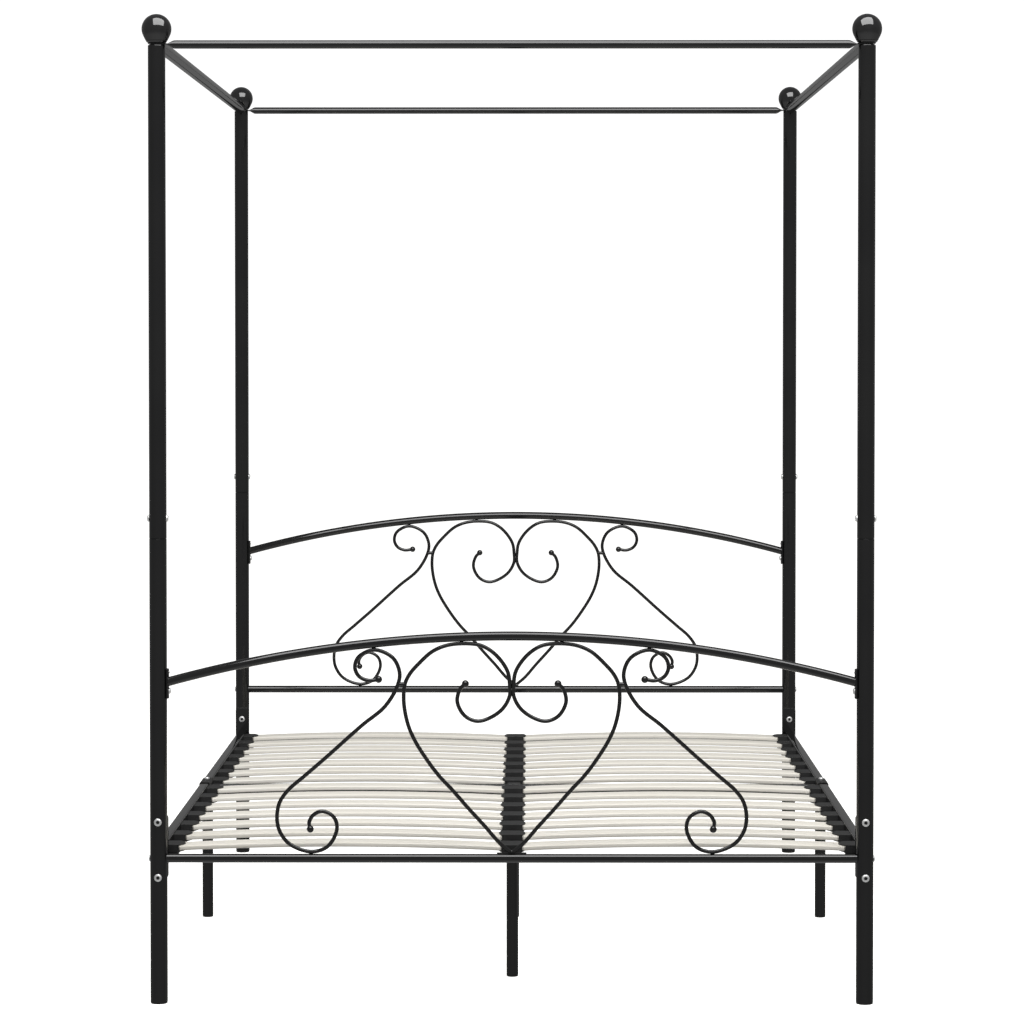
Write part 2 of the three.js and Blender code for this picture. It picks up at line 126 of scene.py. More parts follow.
def add_node(
    tree: bpy.types.NodeTree,
    kind: str,
    settings: dict[str, object] | None = None,
    inputs: dict[str | int, object] | None = None,
) -> bpy.types.Node:
    """Adds a node with its settings and links.

    Args:
        tree: Node tree of the material or world.
        kind: Node type, such as "ShaderNodeBump".
        settings: Properties of the node.
        inputs: Value of each input socket, or the output socket that is linked to it.

    Returns:
        The new node.
    """
    node = tree.nodes.new(kind)
    for name, value in (settings or {}).items():
        setattr(node, name, value)
    for name, value in (inputs or {}).items():
        if isinstance(value, bpy.types.NodeSocket):
            tree.links.new(value, node.inputs[name])
        else:
            node.inputs[name].default_value = value
    return node


def add_ramp(
    tree: bpy.types.NodeTree, factor: bpy.types.NodeSocket, stops: Sequence[tuple[float, str]]
) -> bpy.types.NodeSocket:
    """Adds a colour ramp.

    Args:
        tree: Node tree of the material.
        factor: Output socket that drives the ramp.
        stops: Position and sRGB hex colour of each stop, from low to high.

    Returns:
        The ramp's colour socket.
    """
    node = add_node(tree, "ShaderNodeValToRGB", inputs={"Fac": factor})
    while len(node.color_ramp.elements) < len(stops):
        node.color_ramp.elements.new(1.0)
    for element, (position, colour) in zip(node.color_ramp.elements, stops):
        element.position = position
        element.color = linear(colour)
    return node.outputs["Color"]


def add_range(
    tree: bpy.types.NodeTree, value: bpy.types.NodeSocket, low: float, high: float
) -> bpy.types.NodeSocket:
    """Maps a pattern's 0 to 1 to a range.

    Args:
        tree: Node tree of the material.
        value: Output socket of the pattern.
        low: Result where the pattern is 0.
        high: Result where the pattern is 1.

    Returns:
        The result's socket.
    """
    node = add_node(tree, "ShaderNodeMapRange", inputs={"Value": value, "To Min": low, "To Max": high})
    return node.outputs["Result"]


def new_material(name: str) -> tuple[bpy.types.Material, bpy.types.NodeTree]:
    """Makes a material with an empty node tree.

    Args:
        name: The material's name.

    Returns:
        The material and its node tree.
    """
    material = bpy.data.materials.new(name)
    material.use_nodes = True
    material.node_tree.nodes.clear()
    return material, material.node_tree


def close_material(tree: bpy.types.NodeTree, shader: bpy.types.Node) -> None:
    """Links a shader to the material's output.

    Args:
        tree: Node tree of the material.
        shader: The finished shader node.
    """
    add_node(tree, "ShaderNodeOutputMaterial", inputs={"Surface": shader.outputs[0]})


@dataclass(frozen=True)
class PowderCoat:
    """Glossy black polyester powder, sprayed on steel tube and baked.

    The eye gets an even black skin that flows softly, like fine orange peel, with tight
    highlights and a grey sheen where a surface is seen at a slant.
    """

    name: str = "glossy_powder_coated_steel"
    pale: str = "#131313"
    deep: str = "#0d0d0e"
    peel_size: float = 3.0  # real orange peel is finer and wouldn't show from across a room
    peel_height: float = 0.002
    cloud_size: float = 160.0
    roughness: tuple[float, float] = (0.05, 0.08)

    def make(self) -> bpy.types.Material:
        """Builds the material."""
        material, tree = new_material(self.name)
        place = add_node(tree, "ShaderNodeTexCoord").outputs["Object"]
        clouds = add_node(
            tree,
            "ShaderNodeTexNoise",
            inputs={"Vector": place, "Scale": per_metre(self.cloud_size), "Detail": 3.0},
        ).outputs["Fac"]
        peel = add_node(
            tree,
            "ShaderNodeTexNoise",
            inputs={"Vector": place, "Scale": per_metre(self.peel_size), "Detail": 1.0},
        ).outputs["Fac"]
        bump = add_node(
            tree,
            "ShaderNodeBump",
            inputs={"Strength": 0.25, "Distance": self.peel_height * MM, "Height": peel},
        )
        shader = add_node(
            tree,
            "ShaderNodeBsdfPrincipled",
            inputs={
                "Base Color": add_ramp(tree, clouds, [(0.35, self.deep), (0.65, self.pale)]),
                "Roughness": add_range(tree, clouds, *self.roughness),
                "IOR": 1.52,
                "Normal": bump.outputs["Normal"],
            },
        )
        close_material(tree, shader)
        return material


@dataclass(frozen=True)
class GlossLacquer:
    """Black lacquer, dipped and polished, on the turned finial balls.

    The eye gets a deep black with a sharp picture of the studio's light in it.
    """

    name: str = "polished_black_lacquer"
    pale: str = "#121213"
    deep: str = "#0b0b0c"
    haze_size: float = 9.0
    roughness: tuple[float, float] = (0.05, 0.10)

    def make(self) -> bpy.types.Material:
        """Builds the material."""
        material, tree = new_material(self.name)
        place = add_node(tree, "ShaderNodeTexCoord").outputs["Object"]
        haze = add_node(
            tree,
            "ShaderNodeTexNoise",
            inputs={"Vector": place, "Scale": per_metre(self.haze_size), "Detail": 4.0},
        ).outputs["Fac"]
        shader = add_node(
            tree,
            "ShaderNodeBsdfPrincipled",
            inputs={
                "Base Color": add_ramp(tree, haze, [(0.35, self.deep), (0.65, self.pale)]),
                "Roughness": add_range(tree, haze, *self.roughness),
                "IOR": 1.55,
                "Coat Weight": 0.3,
                "Coat Roughness": 0.03,
            },
        )
        close_material(tree, shader)
        return material


@dataclass(frozen=True)
class FoiledSlat:
    """Moulded plywood slat wrapped in a pale birch-print foil with a satin seal.

    The eye gets a warm off-white with faint long streaks that run with the slat.
    """

    name: str = "satin_sealed_pale_slat"
    pale: str = "#ece8df"
    streak: str = "#e0dbcf"
    streak_length: float = 260.0
    streak_width: float = 5.0
    pore_width: float = 1.4
    pore_height: float = 0.02
    roughness: tuple[float, float] = (0.42, 0.55)

    def make(self) -> bpy.types.Material:
        """Builds the material."""
        material, tree = new_material(self.name)
        place = add_node(tree, "ShaderNodeTexCoord").outputs["Object"]
        along = per_metre(self.streak_length)
        across = per_metre(self.streak_width)
        fine = per_metre(self.pore_width)
        streaks_at = add_node(
            tree, "ShaderNodeMapping", inputs={"Vector": place, "Scale": (along, across, across)}
        ).outputs["Vector"]
        streaks = add_node(
            tree,
            "ShaderNodeTexNoise",
            inputs={"Vector": streaks_at, "Scale": 1.0, "Detail": 4.0, "Distortion": 0.4},
        ).outputs["Fac"]
        pores_at = add_node(
            tree, "ShaderNodeMapping", inputs={"Vector": place, "Scale": (along * 6, fine, fine)}
        ).outputs["Vector"]
        pores = add_node(
            tree, "ShaderNodeTexNoise", inputs={"Vector": pores_at, "Scale": 1.0, "Detail": 2.0}
        ).outputs["Fac"]
        bump = add_node(
            tree,
            "ShaderNodeBump",
            inputs={"Strength": 0.3, "Distance": self.pore_height * MM, "Height": pores},
        )
        shader = add_node(
            tree,
            "ShaderNodeBsdfPrincipled",
            inputs={
                "Base Color": add_ramp(tree, streaks, [(0.3, self.streak), (0.62, self.pale)]),
                "Roughness": add_range(tree, pores, *self.roughness),
                "IOR": 1.48,
                "Normal": bump.outputs["Normal"],
            },
        )
        close_material(tree, shader)
        return material


@dataclass(frozen=True)
class BrightZinc:
    """Bright zinc plating on cold-headed steel screws.

    The eye gets a light satin silver, a little cloudy, that is brightest towards the light.
    """

    name: str = "bright_zinc_plated_steel"
    pale: str = "#f4f4f2"
    dull: str = "#dddedf"
    cloud_size: float = 2.5
    roughness: tuple[float, float] = (0.48, 0.60)

    def make(self) -> bpy.types.Material:
        """Builds the material."""
        material, tree = new_material(self.name)
        place = add_node(tree, "ShaderNodeTexCoord").outputs["Object"]
        clouds = add_node(
            tree,
            "ShaderNodeTexNoise",
            inputs={"Vector": place, "Scale": per_metre(self.cloud_size), "Detail": 3.0},
        ).outputs["Fac"]
        shader = add_node(
            tree,
            "ShaderNodeBsdfPrincipled",
            inputs={
                "Base Color": add_ramp(tree, clouds, [(0.35, self.dull), (0.65, self.pale)]),
                "Roughness": add_range(tree, clouds, *self.roughness),
                "Metallic": 1.0,
            },
        )
        close_material(tree, shader)
        return material


@dataclass(frozen=True)
class MouldedPolypropylene:
    """Black polypropylene, injection moulded in a spark-eroded tool.

    The eye gets a duller and slightly greyer black than the steel's coat, with a fine grain.
    """

    name: str = "grained_black_polypropylene"
    pale: str = "#222222"
    deep: str = "#1a1a1a"
    grain_size: float = 1.6
    grain_height: float = 0.03
    roughness: tuple[float, float] = (0.42, 0.55)

    def make(self) -> bpy.types.Material:
        """Builds the material."""
        material, tree = new_material(self.name)
        place = add_node(tree, "ShaderNodeTexCoord").outputs["Object"]
        grain = add_node(
            tree,
            "ShaderNodeTexNoise",
            inputs={"Vector": place, "Scale": per_metre(self.grain_size), "Detail": 2.0},
        ).outputs["Fac"]
        bump = add_node(
            tree,
            "ShaderNodeBump",
            inputs={"Strength": 0.4, "Distance": self.grain_height * MM, "Height": grain},
        )
        shader = add_node(
            tree,
            "ShaderNodeBsdfPrincipled",
            inputs={
                "Base Color": add_ramp(tree, grain, [(0.35, self.deep), (0.65, self.pale)]),
                "Roughness": add_range(tree, grain, *self.roughness),
                "IOR": 1.49,
                "Normal": bump.outputs["Normal"],
            },
        )
        close_material(tree, shader)
        return material


@dataclass(frozen=True)
class StudioPaper:
    """Seamless pale paper under the bed, bright enough to have hardly a shadow."""

    name: str = "pale_seamless_paper"
    tone: str = "#f7f7f5"
    glow: float = 1.0
    fibre_size: float = 12.0

    def make(self) -> bpy.types.Material:
        """Builds the material."""
        material, tree = new_material(self.name)
        place = add_node(tree, "ShaderNodeTexCoord").outputs["Object"]
        fibre = add_node(
            tree, "ShaderNodeTexNoise", inputs={"Vector": place, "Scale": per_metre(self.fibre_size)}
        ).outputs["Fac"]
        shader = add_node(
            tree,
            "ShaderNodeBsdfPrincipled",
            inputs={
                "Base Color": linear(self.tone),
                "Roughness": add_range(tree, fibre, 0.8, 0.9),
                "Emission Color": linear(self.tone),
                "Emission Strength": self.glow,
            },
        )
        close_material(tree, shader)
        return material


FINISH_MAKERS = {
    Finish.COATED_STEEL: PowderCoat,
    Finish.LACQUERED_BALL: GlossLacquer,
    Finish.PALE_SLAT: FoiledSlat,
    Finish.BRIGHT_ZINC: BrightZinc,
    Finish.MOULDED_PLASTIC: MouldedPolypropylene,
}


# ---- Modelling ----------------------------------------------------------------------------


def spin_profile(
    profile: Sequence[tuple[float, float]], sides: int = ROUND, ring: bool = False
) -> BMesh:
    """Turns a profile about the upright axis.

    Args:
        profile: Radius and height of each point of the profile.
        sides: Steps in a full turn.
        ring: Whether the profile's last point joins its first, as in a tube's wall.

    Returns:
        The closed shell.
    """
    bm = bmesh.new()
    verts = [bm.verts.new((radius, 0.0, height)) for radius, height in profile]
    pairs = list(zip(verts, verts[1:]))
    if ring:
        pairs.append((verts[-1], verts[0]))
    edges = [bm.edges.new(pair) for pair in pairs]
    bmesh.ops.spin(
        bm, geom=verts + edges, axis=Z_AXIS, cent=Vector(), angle=math.tau, steps=sides, use_merge=True
    )
    bmesh.ops.remove_doubles(bm, verts=bm.verts[:], dist=0.001)
    return bm


def skin(bm: BMesh, sections: Sequence[Section], count: int) -> list[BMVert]:
    """Skins a closed body through a row of sections.

    Args:
        bm: Mesh that the body is added to.
        sections: Each gives the point of its closed outline at a share of the way round.
        count: Points in each section.

    Returns:
        The body's vertices.
    """
    ring = bmesh.ops.create_circle(bm, cap_ends=True, segments=count, radius=1.0)["verts"]
    shares = {vert: index / count for index, vert in enumerate(ring)}
    edges = list({edge for vert in ring for edge in vert.link_edges})
    body = list(ring)
    for vert, share in shares.items():
        vert.co = sections[0](share)
    for section in sections[1:]:
        made = bmesh.ops.extrude_edge_only(bm, edges=edges)["geom"]
        edges = [item for item in made if isinstance(item, BMEdge) and item.is_boundary]
        before, shares = shares, {}
        for vert in (item for item in made if isinstance(item, BMVert)):
            neighbours = (edge.other_vert(vert) for edge in vert.link_edges)
            shares[vert] = next(before[other] for other in neighbours if other in before)
            vert.co = section(shares[vert])
        body += shares
    bmesh.ops.edgeloop_fill(bm, edges=edges)
    return body


def disc(centre: Vector, radius: float, across: Vector, up: Vector) -> Section:
    """A round section.

    Args:
        centre: Middle of the section.
        radius: Its radius.
        across: Unit vector from the middle to the outline's first point.
        up: Unit vector to the point a quarter turn on.

    Returns:
        The section.
    """

    def at(share: float) -> Vector:
        """Point on the circle."""
        angle = math.tau * share
        return centre + radius * (math.cos(angle) * across + math.sin(angle) * up)

    return at


def pressed(centre: Vector, half: tuple[float, float], square: float, across: Vector, up: Vector) -> Section:
    """A section between an ellipse and a rectangle.

    Args:
        centre: Middle of the section.
        half: Half its width and half its height.
        square: 1 for an ellipse, and less for squarer corners.
        across: Unit vector along the width.
        up: Unit vector along the height.

    Returns:
        The section.
    """

    def at(share: float) -> Vector:
        """Point on the squared oval."""
        angle = math.tau * share
        x = math.copysign(abs(math.cos(angle)) ** square, math.cos(angle))
        z = math.copysign(abs(math.sin(angle)) ** square, math.sin(angle))
        return centre + half[0] * x * across + half[1] * z * up

    return at


def hexagon(centre: Vector, flats: float, across: Vector, up: Vector) -> Section:
    """A six-sided section.

    Args:
        centre: Middle of the section.
        flats: Distance between opposite flats.
        across: Unit vector from the middle to a corner.
        up: Unit vector a quarter turn on.

    Returns:
        The section.
    """
    sixth = math.tau / 6

    def at(share: float) -> Vector:
        """Point on the hexagon."""
        angle = math.tau * share
        reach = flats / 2 / math.cos(angle % sixth - sixth / 2)
        return centre + reach * (math.cos(angle) * across + math.sin(angle) * up)

    return at


def rounded_box(
    bm: BMesh, low: Sequence[float], high: Sequence[float], radius: float, steps: int = 3
) -> None:
    """Adds a block with rounded edges.

    Args:
        bm: Mesh that the block is added to.
        low: Its lowest corner.
        high: Its highest corner.
        radius: Radius of its edges.
        steps: Segments across a rounded edge.
    """
    low, high = Vector(low), Vector(high)
    place = Matrix.Translation((low + high) / 2) @ Matrix.Diagonal((*(high - low), 1.0))
    cube = bmesh.ops.create_cube(bm, size=1.0, matrix=place)["verts"]
    edges = list({edge for vert in cube for edge in vert.link_edges})
    bmesh.ops.bevel(
        bm, geom=edges, offset=radius, segments=steps, profile=0.5, affect="EDGES", material=-1
    )


def box_tube(
    bm: BMesh,
    low: Sequence[float],
    high: Sequence[float],
    axis: Vector,
    wall: float,
    radius: float,
    cut_z: float | None = None,
) -> None:
    """Adds a rectangular tube with rolled corners and open ends.

    Args:
        bm: Mesh that the tube is added to.
        low: Its lowest corner.
        high: Its highest corner.
        axis: Unit vector along the tube.
        wall: Thickness of the wall.
        radius: Outer radius of the corners.
        cut_z: Height that the tube is cut away below, or None for a whole tube.
    """
    low, high = Vector(low), Vector(high)
    place = Matrix.Translation((low + high) / 2) @ Matrix.Diagonal((*(high - low), 1.0))
    tube = bmesh.new()
    bmesh.ops.create_cube(tube, size=1.0, matrix=place)
    ends = [face for face in tube.faces if abs(face.normal.dot(axis)) > 0.5]
    bmesh.ops.delete(tube, geom=ends, context="FACES_ONLY")
    long_edges = [
        edge
        for edge in tube.edges
        if abs((edge.verts[0].co - edge.verts[1].co).normalized().dot(axis)) > 0.5
    ]
    bmesh.ops.bevel(
        tube, geom=long_edges, offset=radius, segments=4, profile=0.5, affect="EDGES", material=-1
    )
    bmesh.ops.recalc_face_normals(tube, faces=tube.faces[:])
    if cut_z is not None:
        everything = [*tube.verts, *tube.edges, *tube.faces]
        bmesh.ops.bisect_plane(
            tube, geom=everything, plane_co=cut_z * Z_AXIS, plane_no=Z_AXIS, clear_inner=True
        )
    bmesh.ops.solidify(tube, geom=tube.faces[:], thickness=wall)
    join(bm, tube)


def join(bm: BMesh, extra: BMesh, place: Matrix | None = None) -> None:
    """Moves one mesh into another.

    Args:
        bm: Mesh that takes it.
        extra: Mesh that is used up.
        place: Where it goes, or None to leave it where it is.
    """
    if place is not None:
        bmesh.ops.transform(extra, matrix=place, verts=extra.verts[:])
    carrier = bpy.data.meshes.new("carrier")
    extra.to_mesh(carrier)
    extra.free()
    bm.from_mesh(carrier)
    bpy.data.meshes.remove(carrier)


def facing(point: Sequence[float], way: Vector) -> Matrix:
    """Place of something modelled upright at the origin.

    Args:
        point: Where its origin goes.
        way: Direction that its +Z turns to.

    Returns:
        The matrix.
    """
    return Matrix.Translation(point) @ way.to_track_quat("Z", "Y").to_matrix().to_4x4()


def node_box(node: str) -> tuple[Vector, Vector]:
    """Lowest and highest corner of a CAD node, in millimetres."""
    low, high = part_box(node)
    return low / MM, high / MM


@dataclass
class Workshop:
    """Dresses finished meshes, hands them to the frame and keeps count of them."""

    finishes: dict[Finish, bpy.types.Material] = field(default_factory=dict)
    made: int = 0

    def material(self, finish: Finish) -> bpy.types.Material:
        """The finish's material, made when it is first asked for."""
        if finish not in self.finishes:
            self.finishes[finish] = FINISH_MAKERS[finish]().make()
        return self.finishes[finish]

    def hand_over(
        self,
        name: str,
        bm: BMesh,
        finish: Finish,
        replaces: Iterable[str] = (),
        soften: float = 0.0,
        recalc: bool = True,
    ) -> bpy.types.Object:
        """Makes a piece of a finished mesh.

        Args:
            name: The piece's name.
            bm: Its mesh in millimetres, which is used up.
            finish: Its finish.
            replaces: CAD nodes that it stands for.
            soften: Radius in millimetres for its sharp edges.
            recalc: Whether its normals are worked out again.

        Returns:
            The piece.
        """
        if recalc:
            bmesh.ops.recalc_face_normals(bm, faces=bm.faces[:])
        bmesh.ops.scale(bm, vec=Vector((MM, MM, MM)), verts=bm.verts[:])
        mesh = bpy.data.meshes.new(name)
        bm.to_mesh(mesh)
        bm.free()
        mesh.shade_smooth()
        mesh.set_sharp_from_angle(angle=SMOOTH_ANGLE)
        mesh.materials.append(self.material(finish))
        piece = bpy.data.objects.new(name, mesh)
        bpy.context.scene.collection.objects.link(piece)
        if soften:
            rounding = piece.modifiers.new("softened_edges", "BEVEL")
            rounding.width = soften * MM
            rounding.segments = 2
            rounding.limit_method = "ANGLE"
            rounding.angle_limit = SMOOTH_ANGLE
            rounding.harden_normals = True
        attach(piece, "root")
        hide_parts(*replaces)
        self.made += 1
        log.info("piece %3d  %-40s %s", self.made, name, finish.value)
        return piece


# ---- Fasteners ----------------------------------------------------------------------------


@dataclass(frozen=True)
class SocketBolt:
    """Button-head bolt with a hexagon socket, drawn from its seat upwards."""

    head_dia: float = 14.0
    head_height: float = 3.6
    rim_height: float = 0.8
    socket_flats: float = 6.0
    socket_depth: float = 3.0
    floor_height: float = 0.3  # thickness of the black disc on the socket's floor, painted shade for the recess
    dome_steps: int = 5

    def shape(self) -> BMesh:
        """Builds the head about the origin, seat down."""
        bm = bmesh.new()
        radius = self.head_dia / 2
        top = self.socket_flats / 2 + 1.0
        sections = [disc(Vector(), radius, X_AXIS, Y_AXIS)]
        for step in range(self.dome_steps + 1):
            turn = math.pi / 2 * step / self.dome_steps
            reach = top + (radius - top) * math.cos(turn)
            height = self.rim_height + (self.head_height - self.rim_height) * math.sin(turn)
            sections.append(disc(height * Z_AXIS, reach, X_AXIS, Y_AXIS))
        floor = (self.head_height - self.socket_depth) * Z_AXIS
        sections.append(hexagon(self.head_height * Z_AXIS, self.socket_flats, X_AXIS, Y_AXIS))
        sections.append(hexagon(floor, self.socket_flats, X_AXIS, Y_AXIS))
        skin(bm, sections, FINE_ROUND)
        return bm

    def socket_floor(self) -> BMesh:
        """Builds a black disc on the socket's floor, painted shade that stands for the recess's shadow and
        comes out darker than the plating.
        """
        bm = bmesh.new()
        low = (self.head_height - self.socket_depth - 0.1) * Z_AXIS
        flats = self.socket_flats + 0.1
        faces = [hexagon(low + lift * Z_AXIS, flats, X_AXIS, Y_AXIS) for lift in (0.0, self.floor_height)]
        skin(bm, faces, 6)
        return bm


@dataclass(frozen=True)
class Rivet:
    """Small domed rivet, drawn from its seat upwards."""

    head_dia: float = 5.0
    head_height: float = 1.6

    def shape(self) -> BMesh:
        """Builds the head about the origin, seat down."""
        steps = 5
        rise = [math.pi / 2 * step / steps for step in range(steps + 1)]
        dome = [(self.head_dia / 2 * math.cos(a), self.head_height * math.sin(a)) for a in rise]
        return spin_profile([(0.0, 0.0), *dome[:-1], (0.0, self.head_height)], sides=16)


@dataclass
class FastenerSet:
    """Fasteners of one sub-assembly, gathered into one piece."""

    name: str
    bm: BMesh = field(default_factory=bmesh.new)
    floors: BMesh = field(default_factory=bmesh.new)

    def add(self, kind: SocketBolt | Rivet, point: Sequence[float], way: Vector) -> None:
        """Adds a fastener.

        Args:
            kind: Which fastener.
            point: Middle of its seat.
            way: Direction that its head looks.
        """
        join(self.bm, kind.shape(), facing(point, way))
        # Each socket bolt also gets a black disc in its socket: painted shade for the recess.
        if isinstance(kind, SocketBolt):
            join(self.floors, kind.socket_floor(), facing(point, way))

    def hand_over(self, shop: Workshop) -> None:
        """Makes one piece of the heads and one of the black discs of painted shade in their sockets."""
        shop.hand_over(self.name, self.bm, Finish.BRIGHT_ZINC)
        # The sockets' black discs are painted shade, given the coat's black.
        shop.hand_over(f"{self.name}_socket_floors", self.floors, Finish.COATED_STEEL)


# ---- Posts and canopy ---------------------------------------------------------------------


@dataclass
class Post:
    """Corner post: two tubes, a foot glide, a finial and the bolts that hold the panels."""

    end: End
    side: Side
    wall: float = 1.5
    edge: float = 0.6  # rounding of the tubes' cut ends
    glide_height: float = 3.0
    glide_dia: float = 34.0
    glide_top: float = 18.0  # of its plug, inside the tube
    cap_thickness: float = 3.0
    stem_hole: float = 5.3  # radius of the cap's hole for the finial's stem
    shade_ring: float = 2.0  # ring below the top edge that keeps the edge's shading off the tube
    split_bolt_z: float = 981.0
    joint_bolt: SocketBolt = SocketBolt(head_dia=14.0)
    panel_bolt: SocketBolt = SocketBolt(head_dia=12.5, head_height=2.6, socket_depth=2.0)
    rail_bolt: SocketBolt = SocketBolt(head_dia=15.7, socket_flats=7.0)
    rail_bolt_heights: tuple[float, float] = (256.7, 368.8)

    def __post_init__(self) -> None:
        """Reads the post's place and sizes off the frame."""
        self.name = f"{self.end.label}_{self.side.label}"
        low, high = node_box(f"{self.name}_upper_post")
        self.x, self.y = (low.x + high.x) / 2, (low.y + high.y) / 2
        self.radius = (high.x - low.x) / 2
        self.split_z, self.top_z = low.z, high.z
        self.spigot_z = node_box(f"{self.name}_lower_post")[1].z

    @property
    def place(self) -> Matrix:
        """Where a mesh turned about the origin goes."""
        return Matrix.Translation((self.x, self.y, 0.0))

    def build(self, shop: Workshop, panel_bolt_heights: Sequence[float]) -> None:
        """Builds and dresses the post.

        Args:
            shop: Takes the finished pieces.
            panel_bolt_heights: Height of each straight rail that is bolted from outside.
        """
        self._lower_tube(shop)
        self._upper_tube(shop)
        self._bolts(shop, panel_bolt_heights)

    def _placed(self, bm: BMesh) -> BMesh:
        """Moves a mesh turned about the origin to the post's axis."""
        bmesh.ops.transform(bm, matrix=self.place, verts=bm.verts[:])
        return bm

    def _lower_tube(self, shop: Workshop) -> None:
        """Lower tube with its swaged spigot, standing on a moulded glide."""
        outer, inner = self.radius, self.radius - self.wall
        spigot = inner - 0.3
        shoulder = self.split_z - 0.3
        foot = self.glide_height
        profile = [
            (inner, foot),
            (outer - self.edge, foot),
            (outer, foot + self.edge),
            (outer, shoulder - self.edge),
            (outer - self.edge, shoulder),
            (spigot, shoulder),
            (spigot, self.spigot_z),
            (spigot - self.wall, self.spigot_z),
            (spigot - self.wall, shoulder - 10),
            (inner, shoulder - 20),
        ]
        tube = spin_profile(profile, ring=True)
        shop.hand_over(
            f"{self.name}_lower_tube",
            self._placed(tube),
            Finish.COATED_STEEL,
            replaces=[f"{self.name}_lower_post"],
        )
        rim = self.glide_dia / 2
        plug = inner - 0.2
        glide = spin_profile(
            [
                (0, 0),
                (rim - 1.2, 0),
                (rim - 0.3, 0.5),
                (rim, 1.4),
                (rim, foot),
                (plug, foot),
                (plug, self.glide_top),
                (0, self.glide_top),
            ]
        )
        shop.hand_over(f"{self.name}_glide", self._placed(glide), Finish.MOULDED_PLASTIC)

    def _upper_tube(self, shop: Workshop) -> None:
        """Upper tube, open below and closed by a drilled cap above."""
        outer, inner = self.radius, self.radius - self.wall
        cap, hole = self.top_z - self.cap_thickness, self.stem_hole
        profile = [
            (inner, self.split_z),
            (outer - self.edge, self.split_z),
            (outer, self.split_z + self.edge),
            (outer, self.top_z - self.shade_ring),
            (outer, self.top_z - 1.2),
            (outer - 0.35, self.top_z - 0.35),
            (outer - 1.2, self.top_z),
            (hole, self.top_z),
            (hole, cap),
            (inner, cap),
        ]
        tube = spin_profile(profile, ring=True)
        shop.hand_over(
            f"{self.name}_upper_tube",
            self._placed(tube),
            Finish.COATED_STEEL,
            replaces=[f"{self.name}_upper_post"],
        )

    def _bolts(self, shop: Workshop, panel_bolt_heights: Sequence[float]) -> None:
        """Bolts through the post, for its own joint, the panels and the side rail."""
        bolts = FastenerSet(f"{self.name}_post_bolts")
        outward = self.side.value * X_AXIS
        for way in (outward, -outward):
            point = Vector((self.x, self.y, self.split_bolt_z)) + self.radius * way
            bolts.add(self.joint_bolt, point, way)
        for height in panel_bolt_heights:
            point = Vector((self.x, self.y, height)) + self.radius * outward
            bolts.add(self.panel_bolt, point, outward)
        for height in self.rail_bolt_heights:
            away = self.end.value * Y_AXIS
            point = Vector((self.x, self.y, height)) + self.radius * away
            bolts.add(self.rail_bolt, point, away)
        bolts.hand_over(shop)


@dataclass
class Finial:
    """Ball on a conical neck, screwed down on the canopy rails' ends."""

    post: Post
    ball_dia: float = 60.0
    neck_dia: float = 39.6  # at its foot
    stem_dia: float = 10.0
    groove: float = 0.7  # line between the neck's ring and the ball
    ring_height: float = 2.9
    ball_steps: int = 28

    def build(self, shop: Workshop, clamp_z: float) -> None:
        """Builds and dresses the finial.

        Args:
            shop: Takes the finished piece.
            clamp_z: Height of the neck's foot, on top of the rails' ends.
        """
        node = f"{self.post.name}_finial"
        low, high = node_box(node)
        radius = self.ball_dia / 2
        ball_z = high.z - radius
        foot = Vector((self.neck_dia / 2, clamp_z - ball_z))
        # The neck's side touches the ball: the angle is measured from straight down.
        start = math.atan2(foot.x, -foot.y) + math.acos(radius / foot.length)
        tangent = Vector((radius * math.sin(start), -radius * math.cos(start)))
        seam = foot.lerp(tangent, self.ring_height / (tangent.y - foot.y))
        stem = self.stem_dia / 2
        profile = [
            (0.0, low.z),
            (stem - 1.0, low.z),
            (stem, low.z + 1.0),
            (stem, clamp_z),
            (foot.x - 0.5, clamp_z),
            (foot.x, clamp_z + 0.5),
            (seam.x, ball_z + seam.y - self.groove),
            (seam.x - self.groove, ball_z + seam.y - self.groove / 2),
            (seam.x - self.groove, ball_z + seam.y + self.groove / 2),
            (seam.x + self.groove, ball_z + seam.y + self.groove),
        ]
        for step in range(self.ball_steps):
            angle = start + (math.pi - start) * step / self.ball_steps
            profile.append((radius * math.sin(angle), ball_z - radius * math.cos(angle)))
        profile.append((0.0, high.z))
        ball = spin_profile(profile)
        bmesh.ops.transform(ball, matrix=self.post.place, verts=ball.verts[:])
        shop.hand_over(f"{self.post.name}_finial_ball", ball, Finish.LACQUERED_BALL, replaces=[node])


